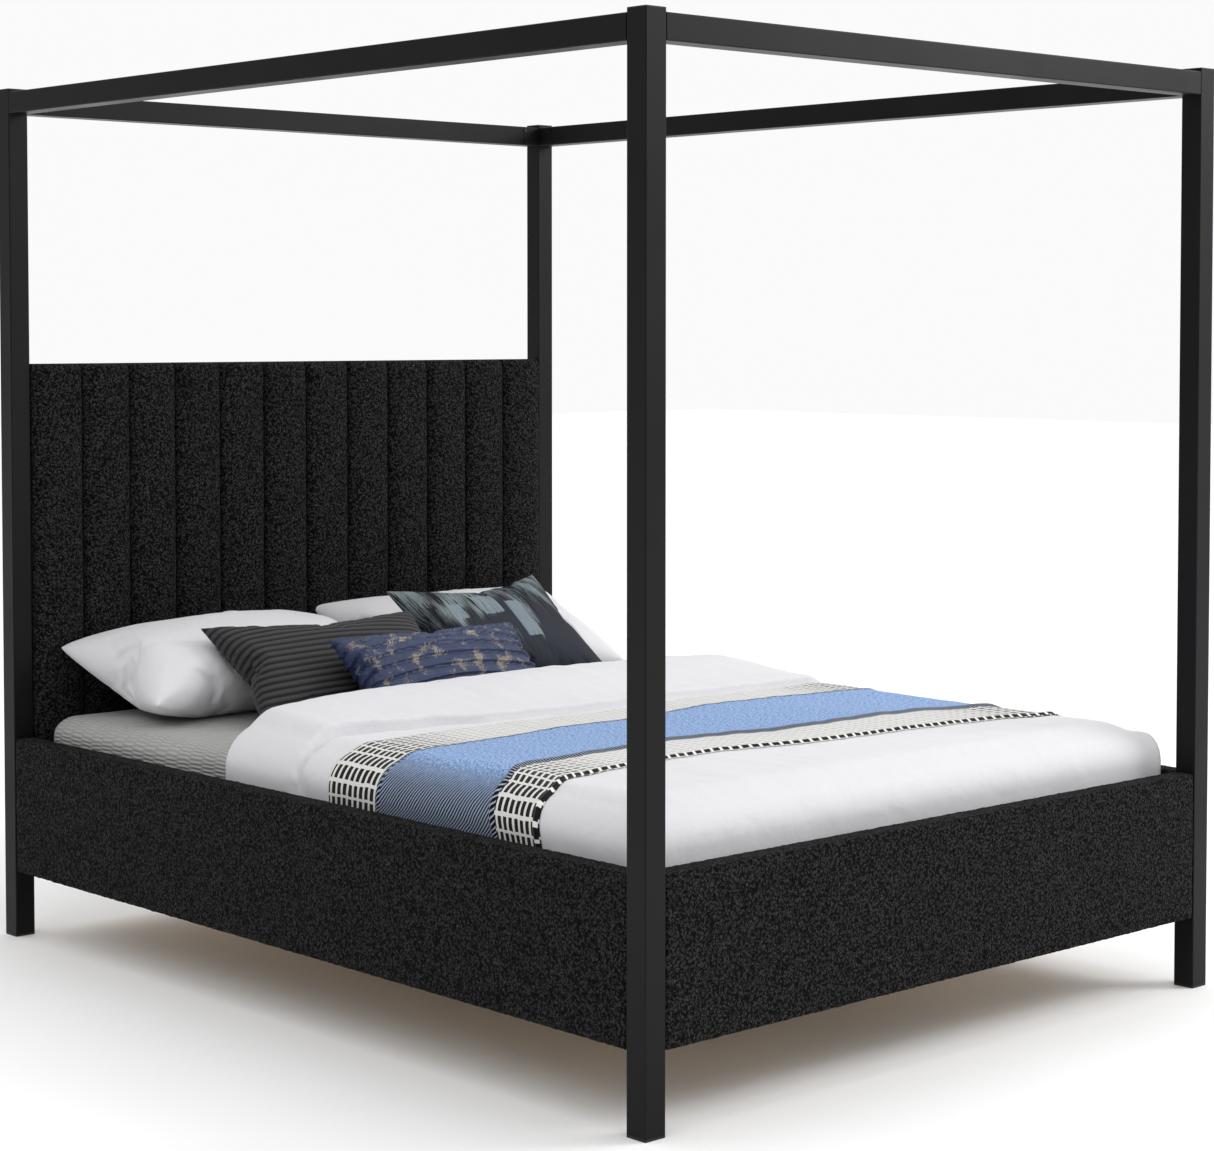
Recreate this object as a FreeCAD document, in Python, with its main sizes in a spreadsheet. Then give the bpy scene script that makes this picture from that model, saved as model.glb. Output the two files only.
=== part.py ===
import FreeCAD, Part
import os
import re

import Sketcher

# A queen-size four poster canopy bed. +X is the right of somebody who stands at the foot and
# looks towards the head, +Y points to the head, +Z is up. The origin is on the floor, at the
# middle of the bed. All sizes are millimetres.

doc = FreeCAD.newDocument("canopy_bed")
sheet = doc.addObject("Spreadsheet::Sheet", "Sizes")

SIZES = [
    ("bed_width", 1690, "over the posts, left to right"),
    ("bed_length", 2222, "over the posts, foot to head"),
    ("bed_height", 2000, "floor to the top of a post cap"),
    # posts and canopy
    ("post_size", 50, "side of the square steel tube of the posts and the canopy"),
    ("tube_wall", 1.5, "wall of that tube"),
    ("tube_corner", 2.5, "outer corner radius of that tube"),
    ("cap_flange", 2.5, "part of a post cap that shows above the post"),
    ("glide_flange", 5, "part of a floor glide that shows below the post"),
    ("plug_depth", 20, "depth of a cap or a glide inside its post"),
    ("plug_clearance", 0.3, "gap between such a plug and the tube"),
    ("canopy_drop", 8, "top of a canopy rail below the top of the posts"),
    ("canopy_gap", 1, "gap between a canopy rail's end and the post"),
    ("tongue_length", 60, "a tongue's reach from its post"),
    ("tongue_clearance", 0.4, "gap between a tongue and the rail around it"),
    ("tongue_wall", 3, "wall of a tongue"),
    ("canopy_screw_setback", 48, "canopy screws from the post"),
    ("canopy_screw_edge", 10, "canopy screws from the rail's upper or lower edge"),
    ("canopy_screw_radius", 3, "canopy screw's shank"),
    ("canopy_screw_length", 9, "canopy screw's shank"),
    ("canopy_screw_head", 5, "radius of a canopy screw's head"),
    ("canopy_screw_head_high", 2.6, "height of that head"),
    # upholstered rails
    ("rail_bottom", 155, "floor to the underside of the rails"),
    ("rail_top", 472, "floor to the top of the rails"),
    ("board_thick", 26, "timber board inside a rail"),
    ("cover_top", 14, "padding over a board's upper edge"),
    ("cover_under", 6, "padding under a board's lower edge"),
    ("cover_gap", 1.5, "gap between a rail cover and the post"),
    ("cover_corner", 5, "rounding of the padding's long edges"),
    ("plate", 4, "thickness of the steel brackets"),
    ("board_gap", 1, "gap between a board's end and the bracket"),
    ("bracket_leg", 70, "length of a bracket's leg along a board"),
    ("bracket_bottom", 290, "floor to the lower edge of a rail bracket"),
    ("bracket_high", 110, "height of a rail bracket"),
    ("rail_bolt_inset", 25, "rail bolts from a bracket's upper or lower edge"),
    ("rail_bolt_setback", 44, "rail bolts from the post"),
    ("rail_bolt_radius", 4, "rail bolt's shank"),
    ("rail_bolt_length", 25, "rail bolt's shank"),
    ("rail_bolt_head", 7, "radius of a rail bolt's head"),
    ("rail_bolt_head_high", 5, "height of that head"),
    # slats and centre beam
    ("deck_top", 270, "floor to the top of the slats"),
    ("slat_thick", 18, "slat thickness"),
    ("slat_wide", 90, "slat width"),
    ("slat_pitch", 176, "from one slat to the next"),
    ("slats", 12, "number of slats"),
    ("slat_gap", 5, "gap between a slat's end and the board"),
    ("cleat_side", 27, "side of the square cleats"),
    ("cleat_reach", 1040, "half the length of a cleat"),
    ("slat_screw_inset", 14, "slat screws from the rail board"),
    ("slat_screw_radius", 2.2, "slat screw's shank"),
    ("slat_screw_length", 34, "slat screw's shank"),
    ("slat_screw_head", 4.2, "radius of a slat screw's head"),
    ("slat_screw_head_high", 1.8, "height of that head"),
    ("beam_side", 40, "side of the centre beam's square tube"),
    ("beam_end_gap", 4.5, "gap between the beam's end and what its hanger is fixed to"),
    ("hanger_wall", 3, "steel of a beam hanger"),
    ("hanger_reach", 38, "length of a hanger along the beam"),
    ("hanger_clearance", 0.4, "gap between a hanger and the beam"),
    ("hanger_ear", 17, "width of a hanger's ear beside the beam"),
    ("hanger_screw_radius", 2.5, "hanger screw's shank"),
    ("hanger_screw_length", 18, "hanger screw's shank"),
    ("hanger_screw_head", 4.8, "radius of a hanger screw's head"),
    ("hanger_screw_head_high", 2.4, "height of that head"),
    ("leg_spread", 700, "distance between the two centre legs"),
    ("leg_radius", 19, "radius of a centre leg"),
    ("leg_bottom", 30, "floor to the lower end of a centre leg"),
    ("leg_bore_radius", 4.3, "bore for the foot stud"),
    ("leg_bore_depth", 48, "depth of that bore"),
    ("stud_radius", 3.9, "radius of the foot stud"),
    ("stud_reach", 34, "foot stud above the leg's lower end"),
    ("collar_radius", 8, "radius of the stud's hexagon collar, across its corners"),
    ("collar_high", 6, "height of that collar"),
    ("pad_radius", 20, "radius of a foot pad"),
    ("pad_high", 12, "height of a foot pad"),
    ("pad_play", 0.3, "gap between a foot pad and its stud"),
    # headboard
    ("headboard_top", 1356, "floor to the top of the headboard"),
    ("headboard_crown", 1037, "foremost line of its channels, from the bed's middle"),
    ("channel_depth", 22, "depth of the valleys between channels"),
    ("channels", 12, "number of vertical channels"),
    ("headboard_pad_bottom", 260, "floor to the lower edge of the padding"),
    ("headboard_side_gap", 5, "gap between the headboard's padding and a post"),
    ("panel_front", 1076, "front face of the plywood panel, from the bed's middle"),
    ("panel_thick", 16, "plywood panel"),
    ("panel_bottom", 160, "floor to the lower edge of the panel"),
    ("panel_inset", 8, "panel's edges inside the padding's"),
    ("panel_top_inset", 12, "panel's top below the padding's"),
    ("dust_cover_thick", 1.5, "cloth over the back of the panel"),
    ("dust_cover_inset", 10, "dust cover's edges inside the panel's"),
    ("crossbar_high", 45, "height of the crossbar under the headboard"),
    ("crossbar_deep", 30, "depth of that crossbar"),
    ("crossbar_bottom", 205, "floor to the underside of the crossbar"),
    ("angle_leg", 45, "leg of a headboard angle along the panel"),
    ("angle_deep", 15.5, "leg of a headboard angle along the post"),
    ("angle_wall", 3, "steel of a headboard angle"),
    ("angle_high", 60, "height of a headboard angle"),
    ("angle_low", 420, "middle of the lower angles"),
    ("angle_up", 1150, "middle of the upper angles"),
    ("angle_bolt_radius", 3, "headboard bolt's shank"),
    ("angle_bolt_length", 12, "headboard bolt's shank"),
    ("angle_bolt_head", 5, "radius of a headboard bolt's head"),
    ("angle_bolt_head_high", 3.2, "height of that head"),
    # bedding
    ("mattress_wide", 1524, "queen mattress"),
    ("mattress_long", 2032, "queen mattress"),
    ("mattress_high", 250, "mattress thickness"),
    ("mattress_corner", 35, "rounding of the mattress edges"),
    ("sheet_thick", 3, "fitted sheet with its fine ridges"),
    ("sheet_drop", 190, "fitted sheet down the sides of the mattress"),
    ("cloth_gap", 0.4, "gap between two layers of bedding"),
    ("duvet_thick", 76, "duvet over the mattress"),
    ("duvet_flap", 17, "duvet tucked beside the mattress"),
    ("duvet_head", 300, "head end of the duvet, from the bed's middle"),
    ("duvet_hem", 402, "floor to the duvet's lower edge"),
    ("duvet_corner", 62, "rounding of the duvet's upper edges"),
    ("throw_thick", 4, "thickness of the throw"),
    ("throw_head", -85, "head edge of the throw, from the bed's middle"),
    ("throw_foot", -795, "foot edge of the throw, from the bed's middle"),
    ("throw_hem", 440, "floor to the throw's lower edges"),
    ("cushion_rim", 24, "thickness of a cushion at its seam"),
]

# Pillows and scatter cushions: width, height and thickness, then where the middle is, how far
# the upper edge leans up from lying flat, and how far the right end is turned to the head
CUSHIONS = [
    ("pillow_left", 745, 375, 180, -378, 845, 621, 14, 0),
    ("pillow_right", 740, 395, 140, 378, 858, 637, 31, 0),
    ("cushion_ribbed", 570, 330, 110, -315, 575, 624, 33, 0),
    ("cushion_navy", 530, 240, 100, -85, 406, 618, 45, 0),
    ("cushion_painted", 510, 340, 110, 330, 676, 657, 47, 5),
]
CUSHION_CELLS = ["wide", "high", "thick", "x", "y", "z", "lean", "turned"]
for cushion, *numbers in CUSHIONS:
    for cell, number in zip(CUSHION_CELLS, numbers):
        SIZES.append((f"{cushion}_{cell}", number, f"{cushion} {cell}"))

for row, (alias, number, meaning) in enumerate(SIZES, start=1):
    sheet.set(f"A{row}", meaning)
    sheet.set(f"B{row}", str(number))
    sheet.setAlias(f"B{row}", alias)
doc.recompute()


def size(alias):
    """A cell's number, for shapes that are made with Part's own functions."""
    return float(sheet.get(alias))


def rule(text):
    """An expression in which every word is a cell of the sheet."""
    return re.sub(r"[a-z]\w*", r"Sizes.\g<0>", text)


# Faces that many pieces share, as rules. Each is a distance from the bed's middle or the floor.
POST_IN_X = "(bed_width / 2 - post_size)"
POST_IN_Y = "(bed_length / 2 - post_size)"
POST_MID_X = "(bed_width / 2 - post_size / 2)"
POST_MID_Y = "(bed_length / 2 - post_size / 2)"
BOARD_OUT_X = "(bed_width / 2 - post_size + board_thick)"
BOARD_OUT_Y = "(bed_length / 2 - post_size + board_thick)"
CANOPY_MID_Z = "(bed_height - canopy_drop - post_size / 2)"
SLAT_BOTTOM = "(deck_top - slat_thick)"
SHEET_TOP = "(deck_top + mattress_high + cloth_gap + sheet_thick)"
DUVET_TOP = "(deck_top + mattress_high + sheet_thick + 2 * cloth_gap + duvet_thick)"
DUVET_HALF = "(mattress_wide / 2 + sheet_thick + 2 * cloth_gap + duvet_flap)"

SIDES = [("left", -1), ("right", 1)]
ENDS = [("foot", -1), ("head", 1)]

sub_parts = []


def sub_part(label, piece):
    """Name a finished piece; its label is the name of its file."""
    piece.Label = label
    sub_parts.append(piece)
    return piece


# ---- ways of making a piece ------------------------------------------------------------------

def draw_outline(body, plane, loops):
    """Sketch closed outlines on one of a body's planes; every corner is a pair of rules."""
    sketch = body.newObject("Sketcher::SketchObject", f"{body.Name}_outline")
    own_plane = [flat for flat in body.Origin.OriginFeatures if flat.Role == plane][0]
    sketch.AttachmentSupport = [(own_plane, "")]
    sketch.MapMode = "FlatFace"
    origin_point = (-1, 1)
    first_line = 0
    for loop in loops:
        count = len(loop)
        turn = FreeCAD.Rotation(FreeCAD.Vector(0, 0, 1), 360 / count)
        corner = FreeCAD.Vector(100, 0, 0)
        for _ in loop:
            following = turn.multVec(corner)
            sketch.addGeometry(Part.LineSegment(corner, following))
            corner = following
        for number in range(count):
            line = first_line + number
            next_line = first_line + (number + 1) % count
            sketch.addConstraint(Sketcher.Constraint("Coincident", line, 2, next_line, 1))
        for number, pair in enumerate(loop):
            line = first_line + number
            for kind, distance in zip(("DistanceX", "DistanceY"), pair):
                datum = sketch.addConstraint(Sketcher.Constraint(kind, *origin_point, line, 1, 100))
                sketch.setExpression(f"Constraints[{datum}]", rule(distance))
        first_line += count
    return sketch


def prism(name, plane, loops, low, high, radius=None, rounded=None):
    """A body padded both ways from a plane, from low to high; chosen edges are rounded."""
    body = doc.addObject("PartDesign::Body", name)
    pad = body.newObject("PartDesign::Pad", f"{name}_pad")
    pad.Profile = draw_outline(body, plane, loops)
    pad.SideType = "Symmetric"
    pad.setExpression("Length", rule(f"({high}) - ({low})"))
    axis = {"YZ_Plane": "x", "XZ_Plane": "y", "XY_Plane": "z"}[plane]
    body.setExpression(f"Placement.Base.{axis}", rule(f"(({high}) + ({low})) / 2"))
    if radius:
        doc.recompute()
        box = pad.Shape.BoundBox
        names = [f"Edge{n}" for n, edge in enumerate(pad.Shape.Edges, 1) if rounded(edge, box)]
        fillet = body.newObject("PartDesign::Fillet", f"{name}_round")
        fillet.Base = (pad, names)
        fillet.setExpression("Radius", rule(radius))
    return body


def block(name, x, y, z):
    """A box; each side is a pair of rules, from low to high."""
    box = doc.addObject("Part::Box", name)
    for side, axis, (low, high) in zip(("Length", "Width", "Height"), "xyz", (x, y, z)):
        box.setExpression(side, rule(f"({high}) - ({low})"))
        box.setExpression(f"Placement.Base.{axis}", rule(low))
    return box


def about(middle, half):
    """The pair of rules that lies half to each side of a middle."""
    return f"({middle}) - ({half})", f"({middle}) + ({half})"


def mirrored(side, low, high):
    """A pair of rules on the right of the bed, or its mirror image on the left."""
    return (low, high) if side > 0 else (f"-({high})", f"-({low})")


def rectangle(across, along):
    """The four corners of a rectangle, from two pairs of rules."""
    return [(across[0], along[0]), (across[1], along[0]), (across[1], along[1]), (across[0], along[1])]


def cut(name, base, tool):
    piece = doc.addObject("Part::Cut", name)
    piece.Base = base
    piece.Tool = tool
    return piece


def fuse(name, base, tool):
    piece = doc.addObject("Part::Fuse", name)
    piece.Base = base
    piece.Tool = tool
    return piece


def group(label, pieces):
    """Like pieces in one file, each a separate solid."""
    compound = doc.addObject("Part::Compound", label)
    compound.Links = pieces
    return sub_part(label, compound)


def solids(label, shapes):
    """A feature that holds shapes made with Part's own functions."""
    feature = doc.addObject("Part::Feature", label)
    feature.Shape = Part.makeCompound(shapes) if len(shapes) > 1 else shapes[0]
    return feature


def fasteners(label, places, shank_radius, shank_length, head_radius, head_high):
    """Socket-head screws: each place is a point under the head and the way the shank points."""
    screws = []
    for point, into in places:
        shank = Part.makeCylinder(shank_radius, shank_length, point, into)
        head = Part.makeCylinder(head_radius, head_high, point, -into)
        outer_face = point - into * head_high
        socket = Part.makeCylinder(head_radius / 2, head_high * 0.6, outer_face, into)
        screws.append(shank.fuse(head).cut(socket).removeSplitter())
    return sub_part(label, solids(label, screws))


def drilled(label, blank, places, radius, depth):
    """A blank with a hole for each place where a fastener enters it."""
    reach = 1
    drill_radius = radius + 0.2
    cylinders = []
    for point, into in places:
        cylinders.append(Part.makeCylinder(drill_radius, depth + 2 * reach, point - into * reach, into))
    return sub_part(label, cut(f"{label}_drilled", blank, solids(f"{label}_holes", cylinders)))


def long_edges(axis, upper_only=False):
    """Picks the edges that run along an axis, on the corners of the whole shape."""
    def picks(edge, box):
        start, end = [vertex.Point for vertex in edge.Vertexes]
        if abs((end - start).normalize()[axis]) < 0.999:
            return False
        if upper_only and start.z < box.ZMax - 1:
            return False
        others = [n for n in range(3) if n != axis]
        reach = [(box.XMin, box.XMax), (box.YMin, box.YMax), (box.ZMin, box.ZMax)]
        return all(min(abs(start[n] - limit) for limit in reach[n]) < 0.01 for n in others)
    return picks


def all_but_bottom(edge, box):
    """Picks every edge that doesn't lie round the underside."""
    return edge.BoundBox.ZMax > box.ZMin + 1


def every_edge(edge, box):
    """Picks all the edges of a block."""
    return True


X_AXIS = FreeCAD.Vector(1, 0, 0)
Y_AXIS = FreeCAD.Vector(0, 1, 0)
Z_AXIS = FreeCAD.Vector(0, 0, 1)

# ---- posts, caps and floor glides ------------------------------------------------------------

def square_tube(name, plane, across, along, low, high):
    """A length of the bed's square tube; (across, along) is its middle line in a plane."""
    loops = []
    for half in ("post_size / 2", "post_size / 2 - tube_wall"):
        loops.append(rectangle(about(across, half), about(along, half)))
    axis = ["YZ_Plane", "XZ_Plane", "XY_Plane"].index(plane)
    return prism(name, plane, loops, low, high, "tube_corner", long_edges(axis))


def end_plug(name, across, along, flange_z, plug_z):
    """A cap or a glide: a flange that covers the tube's end and a plug inside the tube."""
    outline = rectangle(about(across, "post_size / 2"), about(along, "post_size / 2"))
    flange = prism(f"{name}_flange", "XY_Plane", [outline], *flange_z, "tube_corner", long_edges(2))
    half_plug = "post_size / 2 - tube_wall - plug_clearance"
    plug = block(f"{name}_plug", about(across, half_plug), about(along, half_plug), plug_z)
    return fuse(name, flange, plug)


half_width = size("bed_width") / 2
half_length = size("bed_length") / 2
post_in_x = half_width - size("post_size")
post_in_y = half_length - size("post_size")

# Each angle bracket of the headboard has one bolt into a post and one into the panel
panel_back = size("panel_front") + size("panel_thick")
angle_front = panel_back + size("dust_cover_thick")
leg_middle = (size("angle_deep") + size("angle_wall")) / 2
angle_bolts_post = []
angle_bolts_panel = []
for _, side in SIDES:
    for middle_z in (size("angle_low"), size("angle_up")):
        on_post = FreeCAD.Vector(
            side * (post_in_x - size("angle_wall")), angle_front + leg_middle, middle_z
        )
        on_panel = FreeCAD.Vector(
            side * (post_in_x - size("angle_leg") * 0.6), angle_front + size("angle_wall"), middle_z
        )
        angle_bolts_post.append((on_post, X_AXIS * side))
        angle_bolts_panel.append((on_panel, -Y_AXIS))

TUBE_LOW = "glide_flange"
TUBE_HIGH = "(bed_height - cap_flange)"
caps = []
glides = []
for end, forward in ENDS:
    for side_name, side in SIDES:
        corner = f"{end}_{side_name}"
        across = f"{side} * {POST_MID_X}"
        along = f"{forward} * {POST_MID_Y}"
        tube = square_tube(f"tube_{corner}", "XY_Plane", across, along, TUBE_LOW, TUBE_HIGH)
        if end == "head":
            own_bolts = [place for place in angle_bolts_post if place[0].x * side > 0]
            drilled(f"post_{corner}", tube, own_bolts, size("angle_bolt_radius"), size("tube_wall") * 3)
        else:
            sub_part(f"post_{corner}", tube)
        cap_z = (TUBE_HIGH, "bed_height"), (f"{TUBE_HIGH} - plug_depth", TUBE_HIGH)
        glide_z = ("0", TUBE_LOW), (TUBE_LOW, f"{TUBE_LOW} + plug_depth")
        caps.append(end_plug(f"cap_{corner}", across, along, *cap_z))
        glides.append(end_plug(f"glide_{corner}", across, along, *glide_z))
group("post_caps", caps)
group("floor_glides", glides)


# ---- canopy ----------------------------------------------------------------------------------

canopy_top = size("bed_height") - size("canopy_drop")
screw_heights = [
    canopy_top - size("canopy_screw_edge"),
    canopy_top - size("post_size") + size("canopy_screw_edge"),
]
side_screws = {-1: [], 1: []}
end_screws = {-1: [], 1: []}
for side in side_screws:
    for end in end_screws:
        for height in screw_heights:
            along_side = end * (post_in_y - size("canopy_screw_setback"))
            along_end = side * (post_in_x - size("canopy_screw_setback"))
            side_place = FreeCAD.Vector(side * post_in_x, along_side, height)
            end_place = FreeCAD.Vector(along_end, end * post_in_y, height)
            side_screws[side].append((side_place, X_AXIS * side))
            end_screws[end].append((end_place, Y_AXIS * end))

screw_hole = (size("canopy_screw_radius"), size("canopy_screw_length"))
for side_name, side in SIDES:
    reach = f"({POST_IN_Y} - canopy_gap)"
    rail = square_tube(
        f"canopy_tube_{side_name}", "XZ_Plane", f"{side} * {POST_MID_X}", CANOPY_MID_Z, f"-{reach}", reach
    )
    drilled(f"canopy_rail_{side_name}", rail, side_screws[side], *screw_hole)
for end_name, end in ENDS:
    reach = f"({POST_IN_X} - canopy_gap)"
    rail = square_tube(
        f"canopy_tube_{end_name}", "YZ_Plane", f"{end} * {POST_MID_Y}", CANOPY_MID_Z, f"-{reach}", reach
    )
    drilled(f"canopy_rail_{end_name}", rail, end_screws[end], *screw_hole)


def tongue(name, plane, middle, low, high, screws):
    """A short square tube that is welded to a post and carries the end of a canopy rail."""
    outer = "post_size / 2 - tube_wall - tongue_clearance"
    loops = []
    for half in (outer, f"{outer} - tongue_wall"):
        loops.append(rectangle(about(middle, half), about(CANOPY_MID_Z, half)))
    blank = prism(f"{name}_blank", plane, loops, low, high)
    cylinders = []
    for point, into in screws:
        cylinders.append(Part.makeCylinder(size("canopy_screw_radius") + 0.2, 12, point - into, into))
    return cut(name, blank, solids(f"{name}_holes", cylinders))


tongues = []
for end_name, end in ENDS:
    for side_name, side in SIDES:
        near_y = [place for place in side_screws[side] if place[0].y * end > 0]
        near_x = [place for place in end_screws[end] if place[0].x * side > 0]
        root_y, tip_y = POST_IN_Y, f"({POST_IN_Y} - tongue_length)"
        root_x, tip_x = POST_IN_X, f"({POST_IN_X} - tongue_length)"
        tongues.append(tongue(
            f"tongue_{side_name}_{end_name}", "XZ_Plane", f"{side} * {POST_MID_X}",
            *mirrored(end, tip_y, root_y), near_y
        ))
        tongues.append(tongue(
            f"tongue_{end_name}_{side_name}", "YZ_Plane", f"{end} * {POST_MID_Y}",
            *mirrored(side, tip_x, root_x), near_x
        ))
group("canopy_tongues", tongues)

all_canopy_screws = side_screws[-1] + side_screws[1] + end_screws[-1] + end_screws[1]
fasteners(
    "canopy_screws", all_canopy_screws, size("canopy_screw_radius"), size("canopy_screw_length"),
    size("canopy_screw_head"), size("canopy_screw_head_high")
)


# ---- rail boards, their covers, brackets and bolts -------------------------------------------

BOARD_Z = ("rail_bottom + cover_under", "rail_top - cover_top")
BOARD_END_Y = f"({POST_IN_Y} - plate - board_gap)"
BOARD_END_X = f"({POST_IN_X} - plate - board_gap)"

bolt_heights = [
    size("bracket_bottom") + size("rail_bolt_inset"),
    size("bracket_bottom") + size("bracket_high") - size("rail_bolt_inset"),
]
bolt_setback = size("rail_bolt_setback")
side_bolts = {-1: [], 1: []}
foot_bolts = []
for side in side_bolts:
    for height in bolt_heights:
        leg_face_x = side * (post_in_x - size("plate"))
        for end in (-1, 1):
            place = FreeCAD.Vector(leg_face_x, end * (post_in_y - bolt_setback), height)
            side_bolts[side].append((place, X_AXIS * side))
        place = FreeCAD.Vector(side * (post_in_x - bolt_setback), -(post_in_y - size("plate")), height)
        foot_bolts.append((place, -Y_AXIS))

hanger_screws_foot = []
hanger_screws_head = []
hanger_middle_z = size("deck_top") - size("slat_thick") - size("beam_side") / 2
crossbar_front = size("panel_front") - size("crossbar_deep")
ear_middle = size("beam_side") / 2 + size("hanger_clearance") + size("hanger_wall") + size("hanger_ear") / 2
for side in (-1, 1):
    foot_face = -(post_in_y - size("hanger_wall"))
    head_face = crossbar_front - size("hanger_wall")
    hanger_screws_foot.append((FreeCAD.Vector(side * ear_middle, foot_face, hanger_middle_z), -Y_AXIS))
    hanger_screws_head.append((FreeCAD.Vector(side * ear_middle, head_face, hanger_middle_z), Y_AXIS))

rail_hole = (size("rail_bolt_radius"), size("rail_bolt_length"))
cleat_screws = {-1: [], 1: []}
slat_screws = {}
slat_names = [f"slat_{number:02d}" for number in range(1, int(size("slats")) + 1)]
for number, name in enumerate(slat_names):
    middle_y = (number - (len(slat_names) - 1) / 2) * size("slat_pitch")
    slat_screws[name] = []
    for side in (-1, 1):
        place = FreeCAD.Vector(side * (post_in_x - size("slat_screw_inset")), middle_y, size("deck_top"))
        slat_screws[name].append((place, -Z_AXIS))
        cleat_screws[side].append((place, -Z_AXIS))

COVER_Z = ("rail_bottom", "rail_top")


def cover_outline(outer, board_outer, inner):
    """The padding round a board, as a channel that is open towards the middle of the bed."""
    low, high = COVER_Z
    board_low, board_high = BOARD_Z
    return [
        (outer, low), (inner, low), (inner, board_low), (board_outer, board_low),
        (board_outer, board_high), (inner, board_high), (inner, high), (outer, high),
    ]


for side_name, side in SIDES:
    inner, board_outer, outer = [f"{side} * {face}" for face in (POST_IN_X, BOARD_OUT_X, "(bed_width / 2)")]
    board_x = mirrored(side, POST_IN_X, BOARD_OUT_X)
    board = block(f"board_{side_name}", board_x, (f"-{BOARD_END_Y}", BOARD_END_Y), BOARD_Z)
    drilled(f"rail_board_{side_name}", board, side_bolts[side], *rail_hole)
    cover_end = f"({POST_IN_Y} - cover_gap)"
    sub_part(f"rail_cover_{side_name}", prism(
        f"cover_{side_name}", "XZ_Plane", [cover_outline(outer, board_outer, inner)],
        f"-{cover_end}", cover_end, "cover_corner", long_edges(1)
    ))
    cleat_x = mirrored(side, f"{POST_IN_X} - cleat_side", POST_IN_X)
    cleat_z = (f"{SLAT_BOTTOM} - cleat_side", SLAT_BOTTOM)
    cleat = block(f"cleat_blank_{side_name}", cleat_x, ("-cleat_reach", "cleat_reach"), cleat_z)
    screw_depth = size("slat_thick") + size("cleat_side") * 0.6
    drilled(f"cleat_{side_name}", cleat, cleat_screws[side], size("slat_screw_radius"), screw_depth)

board_y = (f"-{BOARD_OUT_Y}", f"-{POST_IN_Y}")
foot_board = block("board_foot", (f"-{BOARD_END_X}", BOARD_END_X), board_y, BOARD_Z)
foot_holes = cut("board_foot_bored", foot_board, solids("board_foot_hanger_holes", [
    Part.makeCylinder(size("hanger_screw_radius") + 0.2, 20, point - into, into)
    for point, into in hanger_screws_foot
]))
drilled("rail_board_foot", foot_holes, foot_bolts, *rail_hole)
cover_end = f"({POST_IN_X} - cover_gap)"
sub_part("rail_cover_foot", prism(
    "cover_foot", "YZ_Plane", [cover_outline("-bed_length / 2", f"-{BOARD_OUT_Y}", f"-{POST_IN_Y}")],
    f"-{cover_end}", cover_end, "cover_corner", long_edges(0)
))

# A bracket is steel plate on edge, welded to its post. At the foot it has four arms: two lie on
# the post's inner faces and two on the boards. At the head it has only the side rail's pair.
INNER_X = f"({POST_IN_X} - plate)"
INNER_Y = f"({POST_IN_Y} - plate)"
LEG_X = f"({POST_IN_X} - bracket_leg)"
LEG_Y = f"({POST_IN_Y} - bracket_leg)"
FOOT_BRACKET = [
    (BOARD_OUT_X, POST_IN_Y), (BOARD_OUT_X, INNER_Y), (POST_IN_X, INNER_Y), (POST_IN_X, LEG_Y),
    (INNER_X, LEG_Y), (INNER_X, INNER_Y), (LEG_X, INNER_Y), (LEG_X, POST_IN_Y),
    (INNER_X, POST_IN_Y), (INNER_X, BOARD_OUT_Y), (POST_IN_X, BOARD_OUT_Y), (POST_IN_X, POST_IN_Y),
]
HEAD_BRACKET = [
    (BOARD_OUT_X, POST_IN_Y), (BOARD_OUT_X, INNER_Y), (POST_IN_X, INNER_Y),
    (POST_IN_X, LEG_Y), (INNER_X, LEG_Y), (INNER_X, POST_IN_Y),
]
bracket_z = ("bracket_bottom", "bracket_bottom + bracket_high")
brackets = []
for outline, end_name, end in ((FOOT_BRACKET, "foot", -1), (HEAD_BRACKET, "head", 1)):
    for side_name, side in SIDES:
        corners = [(f"{side} * {across}", f"{end} * {along}") for across, along in outline]
        plate = prism(f"bracket_blank_{end_name}_{side_name}", "XY_Plane", [corners], *bracket_z)
        near = [place for place in side_bolts[side] if place[0].y * end > 0]
        if end_name == "foot":
            near += [place for place in foot_bolts if place[0].x * side > 0]
        cylinders = []
        for point, into in near:
            cylinders.append(Part.makeCylinder(rail_hole[0] + 0.2, size("plate") + 2, point - into, into))
        holes = solids(f"bracket_holes_{end_name}_{side_name}", cylinders)
        brackets.append(cut(f"bracket_{end_name}_{side_name}", plate, holes))
group("rail_brackets", brackets)
fasteners(
    "rail_bolts", side_bolts[-1] + side_bolts[1] + foot_bolts, *rail_hole,
    size("rail_bolt_head"), size("rail_bolt_head_high")
)


# ---- slats, centre beam and centre legs ------------------------------------------------------

slat_reach = f"({POST_IN_X} - slat_gap)"
for number, name in enumerate(slat_names):
    middle_y = f"({number} - (slats - 1) / 2) * slat_pitch"
    slat_y = about(middle_y, "slat_wide / 2")
    slat = block(f"{name}_blank", (f"-{slat_reach}", slat_reach), slat_y, (SLAT_BOTTOM, "deck_top"))
    drilled(name, slat, slat_screws[name], size("slat_screw_radius"), size("slat_thick"))
all_slat_screws = [place for name in slat_names for place in slat_screws[name]]
fasteners(
    "slat_screws", all_slat_screws, size("slat_screw_radius"), size("slat_screw_length"),
    size("slat_screw_head"), size("slat_screw_head_high")
)

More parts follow.
